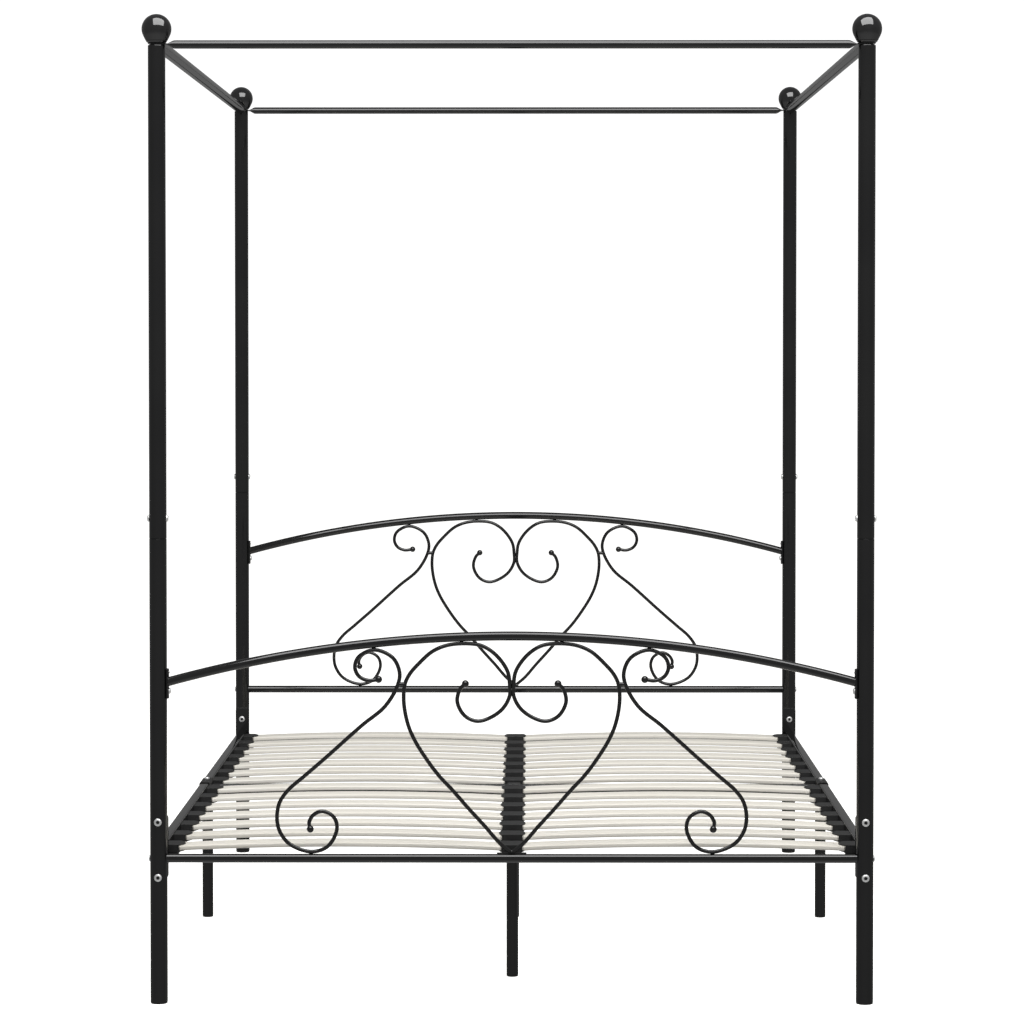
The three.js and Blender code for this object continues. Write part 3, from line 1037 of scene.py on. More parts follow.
@dataclass
class CanopyRail:
    """Round tube with both ends pressed flat and drilled, laid over two posts."""

    node: str
    name: str
    along: Vector
    diameter: float
    tab_thickness: float = 2.4
    tab_width_max: float = 36.0
    tab_reach: float = 12.5  # past the post's axis
    flat_reach: float = 19.0  # from the post's axis to where the tube starts to swell
    taper: float = 18.0
    settle: float = 4.0  # plain ring past the taper that keeps its shading off the tube
    squareness: float = 0.55  # of the pressed ends' edges
    taper_steps: int = 8
    sides: int = 40

    def build(self, shop: Workshop) -> None:
        """Builds and dresses the rail."""
        low, high = node_box(self.node)
        middle = (low + high) / 2
        half_span = (high - low).dot(self.along) / 2 - self.tab_reach
        across = self.along.cross(Z_AXIS)
        radius = self.diameter / 2
        tab = (min(math.pi * self.diameter, 2 * self.tab_width_max) / 4, self.tab_thickness / 2)

        def at(distance: float, flat: float, width: float) -> Section:
            """Cross section at a distance from the rail's middle."""
            half = (
                (radius + (tab[0] - radius) * flat) * width,
                radius + (tab[1] - radius) * flat,
            )
            return pressed(middle + distance * self.along, half, 1 - self.squareness * flat, across, Z_AXIS)

        tip = [
            (half_span + self.tab_reach * math.sin(turn), 1.0, max(math.cos(turn), 0.05) ** 0.5)
            for turn in (math.pi / 2 * step / 6 for step in range(6, -1, -1))
        ]
        swell = []
        for step in range(self.taper_steps + 1):
            share = step / self.taper_steps
            flat = (1 + math.cos(math.pi * share)) / 2
            swell.append((half_span - self.flat_reach - self.taper * share, flat, 1.0))
        swell.append((half_span - self.flat_reach - self.taper - self.settle, 0.0, 1.0))
        half_rail = [*tip, *swell]
        stations = half_rail + [(-distance, flat, width) for distance, flat, width in reversed(half_rail)]
        bm = bmesh.new()
        skin(bm, [at(*station) for station in stations], self.sides)
        shop.hand_over(self.name, bm, Finish.COATED_STEEL, replaces=[self.node])


# ---- Head and foot panels -----------------------------------------------------------------


@dataclass
class StraightRail:
    """Round tube from post to post, its ends coped to the posts."""

    node: str
    name: str
    post_radius: float
    post_x: float
    clearance: float = 0.3

    def build(self, shop: Workshop) -> None:
        """Builds and dresses the rail."""
        low, high = node_box(self.node)
        middle = (low + high) / 2
        radius = (high.z - low.z) / 2
        cope = self.post_radius + self.clearance

        def end(side: Side) -> Section:
            """End of the tube, coped to the round post."""
            flat = disc(middle, radius, Y_AXIS, Z_AXIS)

            def at(share: float) -> Vector:
                """Point on the coped edge."""
                point = flat(share)
                reach = self.post_x - math.sqrt(cope**2 - (point.y - middle.y) ** 2)
                return Vector((side.value * reach, point.y, point.z))

            return at

        bm = bmesh.new()
        skin(bm, [end(Side.LEFT), end(Side.RIGHT)], ROUND)
        shop.hand_over(self.name, bm, Finish.COATED_STEEL, replaces=[self.node])


@dataclass
class ArchedRail:
    """Tube bent to a shallow arch, with a pressed saddle welded on each end."""

    end: End
    post: Post
    tube_dia: float = 18.5
    steps: int = 72
    saddle_height: float = 60.0
    saddle_width: float = 22.0
    saddle_thickness: float = 4.2
    saddle_drop: float = 3.0
    arch_rise: float = 93.3
    bolt: SocketBolt = SocketBolt(head_dia=12.0, head_height=3.4, socket_flats=5.0)
    bolt_drop: float = 7.5  # below the middle of the saddle
    rivet_lift: float = 23.0  # above it

    def __post_init__(self) -> None:
        """Reads the arch's place off the frame."""
        self.node = f"{self.end.label}board_arched_rail"
        _, high = node_box(self.node)
        self.top_z = high.z - self.tube_dia / 2
        self.half_span = abs(self.post.x) - self.post.radius
        self.radius = (self.half_span**2 + self.arch_rise**2) / (2 * self.arch_rise)
        self.saddle_z = self.top_z - self.arch_rise - self.saddle_drop

    def drop_at(self, x: float) -> float:
        """How far the tube's axis is below its middle, at a distance from the bed's middle."""
        return self.radius - math.sqrt(self.radius**2 - x**2)

    def build(self, shop: Workshop) -> None:
        """Builds and dresses the tube, its saddles and their fasteners."""
        centre = Vector((0.0, self.post.y, self.top_z - self.radius))
        half_angle = math.asin((self.half_span - self.saddle_thickness / 2) / self.radius)
        bm = bmesh.new()
        start = Matrix.Translation(centre) @ Matrix.Rotation(-half_angle, 4, "Y")
        upright = start @ Matrix.Translation((0, 0, self.radius)) @ Matrix.Rotation(math.pi / 2, 4, "Y")
        ring = bmesh.ops.create_circle(bm, segments=ROUND, radius=self.tube_dia / 2, matrix=upright)["verts"]
        edges = list({edge for vert in ring for edge in vert.link_edges})
        bmesh.ops.spin(
            bm, geom=list(ring) + edges, cent=centre, axis=Y_AXIS, angle=2 * half_angle, steps=self.steps
        )
        bmesh.ops.holes_fill(bm, edges=[edge for edge in bm.edges if edge.is_boundary], sides=0)
        shop.hand_over(f"{self.end.label}board_arched_tube", bm, Finish.COATED_STEEL, replaces=[self.node])
        fasteners = FastenerSet(f"{self.end.label}board_saddle_fasteners")
        for side in Side:
            self._saddle(shop, side)
            inward = -side.value * X_AXIS
            face = Vector((side.value * (self.half_span - self.saddle_thickness), self.post.y, self.saddle_z))
            fasteners.add(self.bolt, face - self.bolt_drop * 2 * Z_AXIS, inward)
            fasteners.add(Rivet(), face + self.rivet_lift * Z_AXIS, inward)
        fasteners.hand_over(shop)

    def _saddle(self, shop: Workshop, side: Side) -> None:
        """Plate that lies round the post, flat towards the bed and hollow behind."""
        inner = self.post.radius + 0.3
        outer = self.post.radius + self.saddle_thickness
        half_angle = math.asin(self.saddle_width / 2 / outer)
        steps = 10
        bm = bmesh.new()
        low_z = self.saddle_z - self.saddle_height / 2
        arc = [half_angle * (2 * step / steps - 1) for step in range(steps + 1)]
        outline = [(outer * math.cos(a), outer * math.sin(a)) for a in arc]
        outline += [(inner * math.cos(a), inner * math.sin(a)) for a in reversed(arc)]
        verts = [
            bm.verts.new((side.value * (abs(self.post.x) - x), self.post.y + y, low_z)) for x, y in outline
        ]
        face = bm.faces.new(verts)
        made = bmesh.ops.extrude_face_region(bm, geom=[face])["geom"]
        top = [item for item in made if isinstance(item, BMVert)]
        bmesh.ops.translate(bm, vec=self.saddle_height * Z_AXIS, verts=top)
        name = f"{self.end.label}board_{side.label}_saddle"
        shop.hand_over(name, bm, Finish.COATED_STEEL, soften=1.0)


@dataclass
class Scrollwork:
    """Bent round bars with balls on their ends, welded between the two rails of a panel.

    Each point of a bar is a share of the way from the bed's middle to the post, and a share of
    the way from the straight rail up to the arched one.
    """

    arch: ArchedRail
    bar_z: float  # axis of the straight rail
    bar_dia: float = 18.0
    rod_dia: float = 8.0
    ball_dia: float = 14.5
    weld: float = 0.6
    clearance: float = 0.3
    tie_share: float = 0.82
    heart_weld_shares: tuple[float, ...] = (0.0, 0.775)
    side_scroll: tuple[tuple[float, float], ...] = (
        (0.383, 0.852), (0.413, 0.851), (0.44, 0.876), (0.452, 0.922), (0.442, 0.972), (0.396, 1),
        (0.342, 0.953), (0.322, 0.88), (0.3265, 0.82), (0.364, 0.717), (0.432, 0.63), (0.537, 0.481),
        (0.604, 0.387), (0.647, 0.325), (0.672, 0.262), (0.68, 0.183), (0.673, 0.112), (0.644, 0.041),
        (0.581, 0), (0.532, 0.027), (0.505, 0.114), (0.514, 0.175), (0.547, 0.207), (0.573, 0.19),
        (0.586, 0.153), (0.583, 0.117),
    )
    heart_scroll: tuple[tuple[float, float], ...] = (
        (0.13, 0.807), (0.145, 0.783), (0.154, 0.727), (0.141, 0.671), (0.121, 0.64), (0.092, 0.626),
        (0.054, 0.645), (0.02, 0.687), (0.001, 0.746), (0.001, 0.803), (0.006, 0.858), (0.025, 0.912),
        (0.054, 0.96), (0.088, 0.99), (0.141, 1), (0.188, 0.993), (0.227, 0.968), (0.266, 0.914),
        (0.292, 0.867), (0.306, 0.82), (0.31, 0.755), (0.306, 0.683), (0.295, 0.609), (0.278, 0.543),
        (0.246, 0.455), (0.208, 0.369), (0.169, 0.299), (0.121, 0.208), (0.072, 0.12), (0.031, 0.043),
        (0, 0),
    )
    steps_between: int = 5
    rod_sides: int = 16

    def point(self, shares: tuple[float, float], side: Side) -> Vector:
        """Where a point of a bar is.

        Args:
            shares: The point's two shares.
            side: Which half of the panel.

        Returns:
            The point.
        """
        across, up = shares
        rod = self.rod_dia / 2
        mid_x = rod - self.weld
        x = mid_x + across * (self.arch.half_span - mid_x)
        low = self.bar_z + self.bar_dia / 2 + self.clearance + rod
        arch_z = self.arch.top_z - self.arch.drop_at(x)
        high = arch_z - self.arch.tube_dia / 2 - self.clearance - rod
        return Vector((side.value * x, self.arch.post.y, low + (high - low) * up))

    def curve(self, points: Sequence[Vector]) -> list[Vector]:
        """Smooth curve through a row of points, eased by the distances between them."""
        first, last = 2 * points[0] - points[1], 2 * points[-1] - points[-2]
        row = [first, *points, last]
        path = []
        for a, b, c, d in zip(row, row[1:], row[2:], row[3:]):
            ab, bc, cd = (math.sqrt((q - p).length) for p, q in ((a, b), (b, c), (c, d)))
            into = ((b - a) / ab - (c - a) / (ab + bc) + (c - b) / bc) * bc
            out = ((c - b) / bc - (d - b) / (bc + cd) + (d - c) / cd) * bc
            path += interpolate_bezier(b, b + into / 3, c - out / 3, c, self.steps_between + 1)[:-1]
        return [*path, points[-1]]

    def _bar(self, bm: BMesh, path: Sequence[Vector]) -> None:
        """Adds a round bar along a path in the panel's plane."""
        sections = []
        for index, point in enumerate(path):
            before, after = path[max(index - 1, 0)], path[min(index + 1, len(path) - 1)]
            along = (after - before).normalized()
            sections.append(disc(point, self.rod_dia / 2, along.cross(Y_AXIS), Y_AXIS))
        skin(bm, sections, self.rod_sides)

    def _ball(self, bm: BMesh, point: Vector, diameter: float, stretch: float = 1.0) -> None:
        """Adds a ball, or a weld bead where it is stretched along X."""
        shape = Matrix.Translation(point) @ Matrix.Diagonal((stretch, 1.0, 1.0, 1.0))
        bmesh.ops.create_uvsphere(bm, u_segments=24, v_segments=16, radius=diameter / 2, matrix=shape)

    def build(self, shop: Workshop) -> None:
        """Builds and dresses the bars, their balls and the weld beads."""
        panel = f"{self.arch.end.label}board"
        bars, balls, beads = bmesh.new(), bmesh.new(), bmesh.new()
        for side in Side:
            for shares in (self.side_scroll, self.heart_scroll):
                self._bar(bars, self.curve([self.point(pair, side) for pair in shares]))
            tie = [
                self.point(next(pair for pair in shares if pair[1] == self.tie_share), side)
                for shares in (self.side_scroll, self.heart_scroll)
            ]
            self._bar(bars, tie)
            for pair in (self.side_scroll[0], self.side_scroll[-1], self.heart_scroll[0]):
                self._ball(balls, self.point(pair, side), self.ball_dia)
            for shares in (self.side_scroll, self.heart_scroll):
                for pair in shares:
                    if pair[1] in (0, 1):
                        point = self.point(pair, side)
                        shift = (self.rod_dia / 2 - 0.6) * (1 if pair[1] else -1)
                        self._ball(beads, point + shift * Z_AXIS, 3.0, stretch=3.0)
        for share in self.heart_weld_shares:
            middle = self.point((0.0, share), Side.LEFT)
            middle.x = 0.0
            self._ball(beads, middle, self.rod_dia - 1.0)
        shop.hand_over(
            f"{panel}_scroll_bars", bars, Finish.COATED_STEEL, replaces=[f"{panel}_scrollwork"]
        )
        shop.hand_over(f"{panel}_scroll_balls", balls, Finish.COATED_STEEL)
        shop.hand_over(f"{panel}_weld_beads", beads, Finish.COATED_STEEL)


# ---- Slatted base -------------------------------------------------------------------------


@dataclass
class Slat:
    """Crowned strip with rounded edges, its ends flat and shouldered to go into the pockets."""

    side: Side
    row: int
    crown: float = 8.0
    edge_radius: float = 2.2
    shoulder: float = 3.0  # length over which the slat widens outside its pockets
    open_width: float = 62.0
    open_thickness: float = 9.2
    from_mouth: float = 21.0  # bed's middle to the mouth of the double pocket
    to_mouth: float = 677.5  # bed's middle to the mouth of the side pocket
    steps: int = 28

    def build(self, shop: Workshop) -> None:
        """Builds and dresses the slat."""
        node = f"{self.side.label}_slat_{self.row:02d}"
        low, high = node_box(node)
        inner, outer = sorted((abs(low.x), abs(high.x)))
        thickness = high.z - low.z - self.crown
        middle = (self.from_mouth + self.to_mouth) / 2
        half = (self.to_mouth - self.from_mouth) / 2

        def lift(x: float) -> float:
            """Rise of the crown at a distance from the bed's middle."""
            return self.crown * (1 - min(abs(x - middle) / half, 1.0) ** 2)

        bm = bmesh.new()
        corners = [(-1, -1), (1, -1), (1, 1), (-1, 1)]
        half_width = (high.y - low.y) / 2
        centre_y = (high.y + low.y) / 2
        start = self.side.value * inner
        verts = [
            bm.verts.new((start, centre_y + y * half_width, low.z + thickness * (z + 1) / 2))
            for y, z in corners
        ]
        bm.faces.new(verts)
        bmesh.ops.bevel(
            bm,
            geom=verts,
            offset=self.edge_radius,
            segments=4,
            profile=0.5,
            affect="VERTICES",
            material=-1,
        )
        edges = list(bm.edges)
        grown = Vector((1.0, self.open_width / (high.y - low.y), self.open_thickness / thickness))
        starts, ends = self.from_mouth + self.shoulder, self.to_mouth - self.shoulder
        run = [starts + (ends - starts) * step / self.steps for step in range(self.steps + 1)]
        stations = [inner, self.from_mouth, *run, self.to_mouth, outer]
        mid_z = low.z + thickness / 2
        for before, after in zip(stations, stations[1:]):
            made = bmesh.ops.extrude_edge_only(bm, edges=edges)["geom"]
            edges = [item for item in made if isinstance(item, BMEdge) and item.is_boundary]
            verts = [item for item in made if isinstance(item, BMVert)]
            step = Vector((self.side.value * (after - before), 0.0, lift(after) - lift(before)))
            bmesh.ops.translate(bm, vec=step, verts=verts)
            if after in (starts, self.to_mouth):
                factor = grown if after == starts else Vector(1 / size for size in grown)
                axis = Matrix.Translation((0.0, -centre_y, -mid_z - lift(after)))
                bmesh.ops.scale(bm, vec=factor, space=axis, verts=verts)
        bmesh.ops.edgeloop_fill(bm, edges=edges)
        shop.hand_over(f"{node}_strip", bm, Finish.PALE_SLAT, replaces=[node])


@dataclass
class SlatPocket:
    """Moulded pocket with a curved lip that holds a slat's end."""

    width: float = 58.0
    height: float = 15.2
    floor_z: float = 299.4
    wall: float = 2.8
    lug_height: float = 7.5  # under a side pocket, against the rail
    lip_steps: int = 8
    soften: float = 0.7

    def _lip(self, mouth: float, lip: float) -> list[tuple[float, float]]:
        """Points of the curved lip, from one corner to the other.

        Args:
            mouth: Where the lip is at its corners.
            lip: Where it is in the middle.

        Returns:
            X and Y of each point, with Y measured from the slat's middle.
        """
        points = []
        for step in range(self.lip_steps + 1):
            share = 1 - 2 * step / self.lip_steps
            points.append((mouth + (lip - mouth) * (1 - share**2), share * self.width / 2))
        return points

    def _shell(self, outline: Sequence[tuple[float, float]], open_x: Sequence[float], y: float) -> BMesh:
        """Hollow shell over an outline, open where its lips are.

        Args:
            outline: The outline seen from above.
            open_x: Faces whose middle lies past one of these, seen from the other, are left open.
            y: Middle of the slat.

        Returns:
            The shell.
        """
        bm = bmesh.new()
        face = bm.faces.new([bm.verts.new((x, y + dy, self.floor_z)) for x, dy in outline])
        made = bmesh.ops.extrude_face_region(bm, geom=[face])["geom"]
        top = [item for item in made if isinstance(item, BMVert)]
        bmesh.ops.translate(bm, vec=self.height * Z_AXIS, verts=top)
        bmesh.ops.recalc_face_normals(bm, faces=bm.faces[:])
        low, high = min(open_x), max(open_x)
        mouths = []
        for wall in bm.faces:
            middle = wall.calc_center_median()
            if abs(wall.normal.z) < 0.5 and not low <= middle.x <= high:
                mouths.append(wall)
        bmesh.ops.delete(bm, geom=mouths, context="FACES_ONLY")
        bmesh.ops.solidify(bm, geom=bm.faces[:], thickness=self.wall)
        return bm

    def build_side(
        self, shop: Workshop, name: str, side: Side, rail_x: float, mouth: float, lip: float, y: float
    ) -> None:
        """Builds a pocket on a side rail.

        Args:
            shop: Takes the finished piece.
            name: The piece's name.
            side: Which side rail.
            rail_x: Inner face of the rail, from the bed's middle.
            mouth: Reach of the pocket's corners from the rail.
            lip: Reach of the middle of its lip.
            y: Middle of the slat.
        """
        sign = side.value
        curve = [(sign * (rail_x - x), dy) for x, dy in self._lip(mouth, lip)]
        outline = [(sign * rail_x, self.width / 2), *curve, (sign * rail_x, -self.width / 2)]
        far = sign * (rail_x + 50)
        shell = self._shell(outline, (sign * (rail_x - mouth), far), y)
        x0, x1 = sorted((sign * rail_x, sign * (rail_x - mouth + 1.5)))
        half = self.width / 2 - 3
        low_z = self.floor_z - self.lug_height
        lug = bmesh.new()
        rounded_box(lug, (x0, y - half, low_z), (x1, y + half, self.floor_z + 0.4), 1.0)
        join(shell, lug)
        shop.hand_over(name, shell, Finish.MOULDED_PLASTIC, soften=self.soften, recalc=False)

    def build_double(self, shop: Workshop, name: str, mouth: float, lip: float, y: float) -> None:
        """Builds a double pocket on the centre beam.

        Args:
            shop: Takes the finished piece.
            name: The piece's name.
            mouth: Reach of the pocket's corners from the bed's middle.
            lip: Reach of the middle of its lips.
            y: Middle of the slats.
        """
        curve = self._lip(mouth, lip)
        outline = [*curve, *((-x, -dy) for x, dy in curve)]
        shell = self._shell(outline, (-mouth, mouth), y)
        shop.hand_over(name, shell, Finish.MOULDED_PLASTIC, soften=self.soften, recalc=False)


@dataclass
class SideRail:
    """Side rail: two lengths of box tube, joined by a sleeve and bolted on by end plates."""

    side: Side
    width: float = 20.0
    height: float = 40.0
    wall: float = 1.5
    corner: float = 3.0
    top_z: float = 318.0
    plate_thickness: float = 4.0
    plate_corner: float = 6.0
    plate_width: float = 34.0
    plate_inset: float = 0.7  # middle of the plate towards the bed from the post's axis
    sleeve_wall: float = 2.4
    sleeve_length: float = 80.0
    sleeve_end_y: float = 42.55
    pocket_mouth: float = 25.0
    pocket_lip: float = 37.0
    sleeve_bolt: SocketBolt = SocketBolt(head_dia=12.0, head_height=4.0, socket_flats=5.0)
    plate_bolt: SocketBolt = SocketBolt(head_dia=15.7, head_height=4.5, socket_flats=7.0)
    plate_bolt_z: float = 350.0

    def __post_init__(self) -> None:
        """Reads the rail's place off the frame."""
        self.nodes = {end: f"{self.side.label}_side_rail_{end.label}_half" for end in End}
        self.spans = {end: node_box(node) for end, node in self.nodes.items()}
        low, high = node_box(f"foot_{self.side.label}_lower_post")
        self.x = (low.x + high.x) / 2
        self.inner_x = abs(self.x) - self.width / 2
        self.joint_y = self.spans[End.HEAD][0].y

    def build(self, shop: Workshop, rows: Sequence[float]) -> None:
        """Builds and dresses the rail.

        Args:
            shop: Takes the finished pieces.
            rows: Middle of each row of slats.
        """
        low_z = self.top_z - self.height
        for end in End:
            low, high = self.spans[end]
            plate_y = low.y if end is End.FOOT else high.y
            inward = -end.value
            inner_y = plate_y + inward * self.plate_thickness
            joint = self.joint_y - 0.3 if end is End.FOOT else self.joint_y
            y0, y1 = sorted((inner_y, joint))
            bm = bmesh.new()
            box_tube(
                bm,
                (self.x - self.width / 2, y0, low_z),
                (self.x + self.width / 2, y1, self.top_z),
                Y_AXIS,
                self.wall,
                self.corner,
            )
            name = f"{self.side.label}_side_rail_{end.label}_tube"
            shop.hand_over(name, bm, Finish.COATED_STEEL, replaces=[self.nodes[end]], recalc=False)
            self._plate(shop, end, plate_y, inward)
        self._sleeve(shop)
        for row, y in enumerate(rows, start=1):
            name = f"{self.side.label}_slat_pocket_{row:02d}"
            SlatPocket().build_side(
                shop, name, self.side, self.inner_x, self.pocket_mouth, self.pocket_lip, y
            )

    def _plate(self, shop: Workshop, end: End, plate_y: float, inward: int) -> None:
        """End plate with rounded corners, against a post."""
        low, high = self.spans[end]
        centre_x = self.x - self.plate_inset * self.side.value
        centre_z = (low.z + high.z) / 2
        half_width, half_height = self.plate_width / 2, (high.z - low.z) / 2
        bm = bmesh.new()
        corners = [(-1, -1), (1, -1), (1, 1), (-1, 1)]
        verts = [
            bm.verts.new((centre_x + half_width * x, plate_y, centre_z + half_height * z)) for x, z in corners
        ]
        bm.faces.new(verts)
        bmesh.ops.bevel(
            bm,
            geom=verts,
            offset=self.plate_corner,
            segments=5,
            profile=0.5,
            affect="VERTICES",
            material=-1,
        )
        made = bmesh.ops.extrude_face_region(bm, geom=bm.faces[:])["geom"]
        moved = [item for item in made if isinstance(item, BMVert)]
        bmesh.ops.translate(bm, vec=inward * self.plate_thickness * Y_AXIS, verts=moved)
        name = f"{self.side.label}_side_rail_{end.label}_plate"
        shop.hand_over(name, bm, Finish.COATED_STEEL, soften=0.6)
        if end is End.HEAD:
            bolts = FastenerSet(f"{name}_bolt")
            point = (self.x, plate_y + inward * self.plate_thickness, self.plate_bolt_z)
            bolts.add(self.plate_bolt, point, inward * Y_AXIS)
            bolts.hand_over(shop)

    def _sleeve(self, shop: Workshop) -> None:
        """Sleeve over the joint of the two tubes, with its bolt on top."""
        wall = self.sleeve_wall
        bm = bmesh.new()
        box_tube(
            bm,
            (
                self.x - self.width / 2 - wall,
                self.sleeve_end_y - self.sleeve_length,
                self.top_z - self.height - wall,
            ),
            (self.x + self.width / 2 + wall, self.sleeve_end_y, self.top_z + wall),
            Y_AXIS,
            wall - 0.1,
            self.corner + wall,
        )
        name = f"{self.side.label}_side_rail_sleeve"
        shop.hand_over(name, bm, Finish.MOULDED_PLASTIC, soften=0.5, recalc=False)
        bolts = FastenerSet(f"{name}_bolt")
        bolts.add(self.sleeve_bolt, (self.x, self.sleeve_end_y - 20.0, self.top_z + wall), Z_AXIS)
        bolts.hand_over(shop)


@dataclass
class CentreBeam:
    """Centre beam: two lengths of box tube with hooks on their ends and double slat pockets."""

    width: float = 30.0
    wall: float = 1.5
    corner: float = 3.5
    top_z: float = 300.0
    notch_length: float = 93.0
    notch_height: float = 15.0
    hook_thickness: float = 2.2
    hook_reach: float = 12.0
    hook_back: float = 4.0  # of the wide plate behind the tube's end
    hook_width: float = 60.0
    rail_hook_z: float = 302.25
    bar_hook_z: float = 309.3
    pocket_mouth: float = 21.0
    pocket_lip: float = 27.5

    def build(self, shop: Workshop, rows: Sequence[float]) -> None:
        """Builds and dresses the beam.

        Args:
            shop: Takes the finished pieces.
            rows: Middle of each row of slats.
        """
        half = self.width / 2
        for end in End:
            node = f"centre_beam_{end.label}_half"
            low, high = node_box(node)
            rail_tip, bar_tip = (low.y, high.y) if end is End.FOOT else (high.y, low.y)
            outward = end.value
            rail_y = rail_tip - outward * (9.0 - 4.0)
            bar_y = bar_tip + outward * (12.5 - 0.3)
            notch_y = rail_y - outward * self.notch_length
            bottom_z = self.top_z - self.width
            bm = bmesh.new()
            notch_top = bottom_z + self.notch_height
            for one, other, cut_z in ((notch_y, bar_y, None), (rail_y, notch_y, notch_top)):
                y0, y1 = sorted((one, other))
                low, high = (-half, y0, bottom_z), (half, y1, self.top_z)
                box_tube(bm, low, high, Y_AXIS, self.wall, self.corner, cut_z)
            name = f"centre_beam_{end.label}_tube"
            shop.hand_over(name, bm, Finish.COATED_STEEL, replaces=[node], recalc=False)
            hooks = (
                ("rail", rail_y, rail_tip, outward, self.hook_width / 2, self.rail_hook_z),
                ("bar", bar_y, bar_tip, -outward, half, self.bar_hook_z),
            )
            for tag, *place in hooks:
                self._hook(shop, f"centre_beam_{end.label}_{tag}_hook", *place)
        for row, y in enumerate(rows, start=1):
            SlatPocket().build_double(
                shop, f"beam_slat_pocket_{row:02d}", self.pocket_mouth, self.pocket_lip, y
            )

    def _hook(
        self,
        shop: Workshop,
        name: str,
        tube_end: float,
        tip: float,
        way: int,
        half_width: float,
        plate_z: float,
    ) -> None:
        """Riser and plate that hang the beam on a rail or the cross bar."""
        bm = bmesh.new()
        riser = sorted((tube_end - way * self.hook_reach, tube_end))
        plate = sorted((tube_end - way * self.hook_back, tip))
        top = plate_z + self.hook_thickness
        half = self.width / 2
        rounded_box(bm, (-half, riser[0], self.top_z - 0.4), (half, riser[1], top - 0.3), 0.7)
        rounded_box(bm, (-half_width, plate[0], plate_z), (half_width, plate[1], top), 0.7)
        shop.hand_over(name, bm, Finish.COATED_STEEL)


@dataclass
class Leg:
    """Round leg with a moulded glide under it."""

    name: str
    x: float
    y: float
    top_z: float
    diameter: float = 25.0
    wall: float = 1.5
    glide_height: float = 3.0
    glide_top: float = 15.0  # of its plug, inside the tube

    def build(self, shop: Workshop, replaces: Iterable[str] = ()) -> None:
        """Builds and dresses the leg.

        Args:
            shop: Takes the finished pieces.
            replaces: CAD node that it stands for.
        """
        outer, inner = self.diameter / 2, self.diameter / 2 - self.wall
        foot, edge = self.glide_height, 0.5
        place = Matrix.Translation((self.x, self.y, 0.0))
        tube = spin_profile(
            [
                (inner, foot),
                (outer - edge, foot),
                (outer, foot + edge),
                (outer, self.top_z),
                (inner, self.top_z),
            ],
            ring=True,
        )
        bmesh.ops.transform(tube, matrix=place, verts=tube.verts[:])
        shop.hand_over(self.name, tube, Finish.COATED_STEEL, replaces=replaces)
        plug = inner - 0.2
        glide = spin_profile(
            [
                (0, 0),
                (outer - 1.5, 0),
                (outer - 0.5, 0.6),
                (outer - 0.3, foot),
                (plug, foot),
                (plug, self.glide_top),
                (0, self.glide_top),
            ]
        )
        bmesh.ops.transform(glide, matrix=place, verts=glide.verts[:])
        shop.hand_over(f"{self.name}_glide", glide, Finish.MOULDED_PLASTIC)


@dataclass
class MiddleSupport:
    """Cross bar between the side rails, with an angle plate and a leg at each end."""

    bar_width: float = 25.0
    bar_top_z: float = 309.0
    bar_corner: float = 3.0
    wall: float = 1.5
    plate: float = 4.0
    plate_length: float = 44.0

    def build(self, shop: Workshop, rail: SideRail) -> None:
        """Builds and dresses the support.

        Args:
            shop: Takes the finished pieces.
            rail: One of the side rails that it screws up against.
        """
        node = "middle_support_with_side_legs"
        low, high = node_box(node)
        y = (low.y + high.y) / 2
        half = self.bar_width / 2
        under = rail.top_z - rail.height - rail.sleeve_wall - 0.3
        plate_x = rail.inner_x - rail.sleeve_wall - 0.3
        bar = bmesh.new()
        reach = plate_x - self.plate
        box_tube(
            bar,
            (-reach, y - half, self.bar_top_z - self.bar_width),
            (reach, y + half, self.bar_top_z),
            X_AXIS,
            self.wall,
            self.bar_corner,
        )
        shop.hand_over("middle_cross_bar", bar, Finish.COATED_STEEL, replaces=[node], recalc=False)
        for side in Side:
            bm = bmesh.new()
            x0, x1 = sorted((side.value * (plate_x - self.plate), side.value * plate_x))
            y0, y1 = y - self.plate_length / 2, y + self.plate_length / 2
            rounded_box(bm, (x0, y0, under - self.plate), (x1, y1, self.bar_top_z), 0.8)
            x0, x1 = sorted((side.value * (plate_x - self.plate), side.value * high.x))
            rounded_box(bm, (x0, y0, under - self.plate), (x1, y1, under), 0.8)
            shop.hand_over(f"{side.label}_middle_angle_plate", bm, Finish.COATED_STEEL)
            leg_x = side.value * (abs(rail.x) - self.plate / 2)
            Leg(f"{side.label}_middle_leg", leg_x, y, under - self.plate).build(shop)


# ---- Studio -------------------------------------------------------------------------------


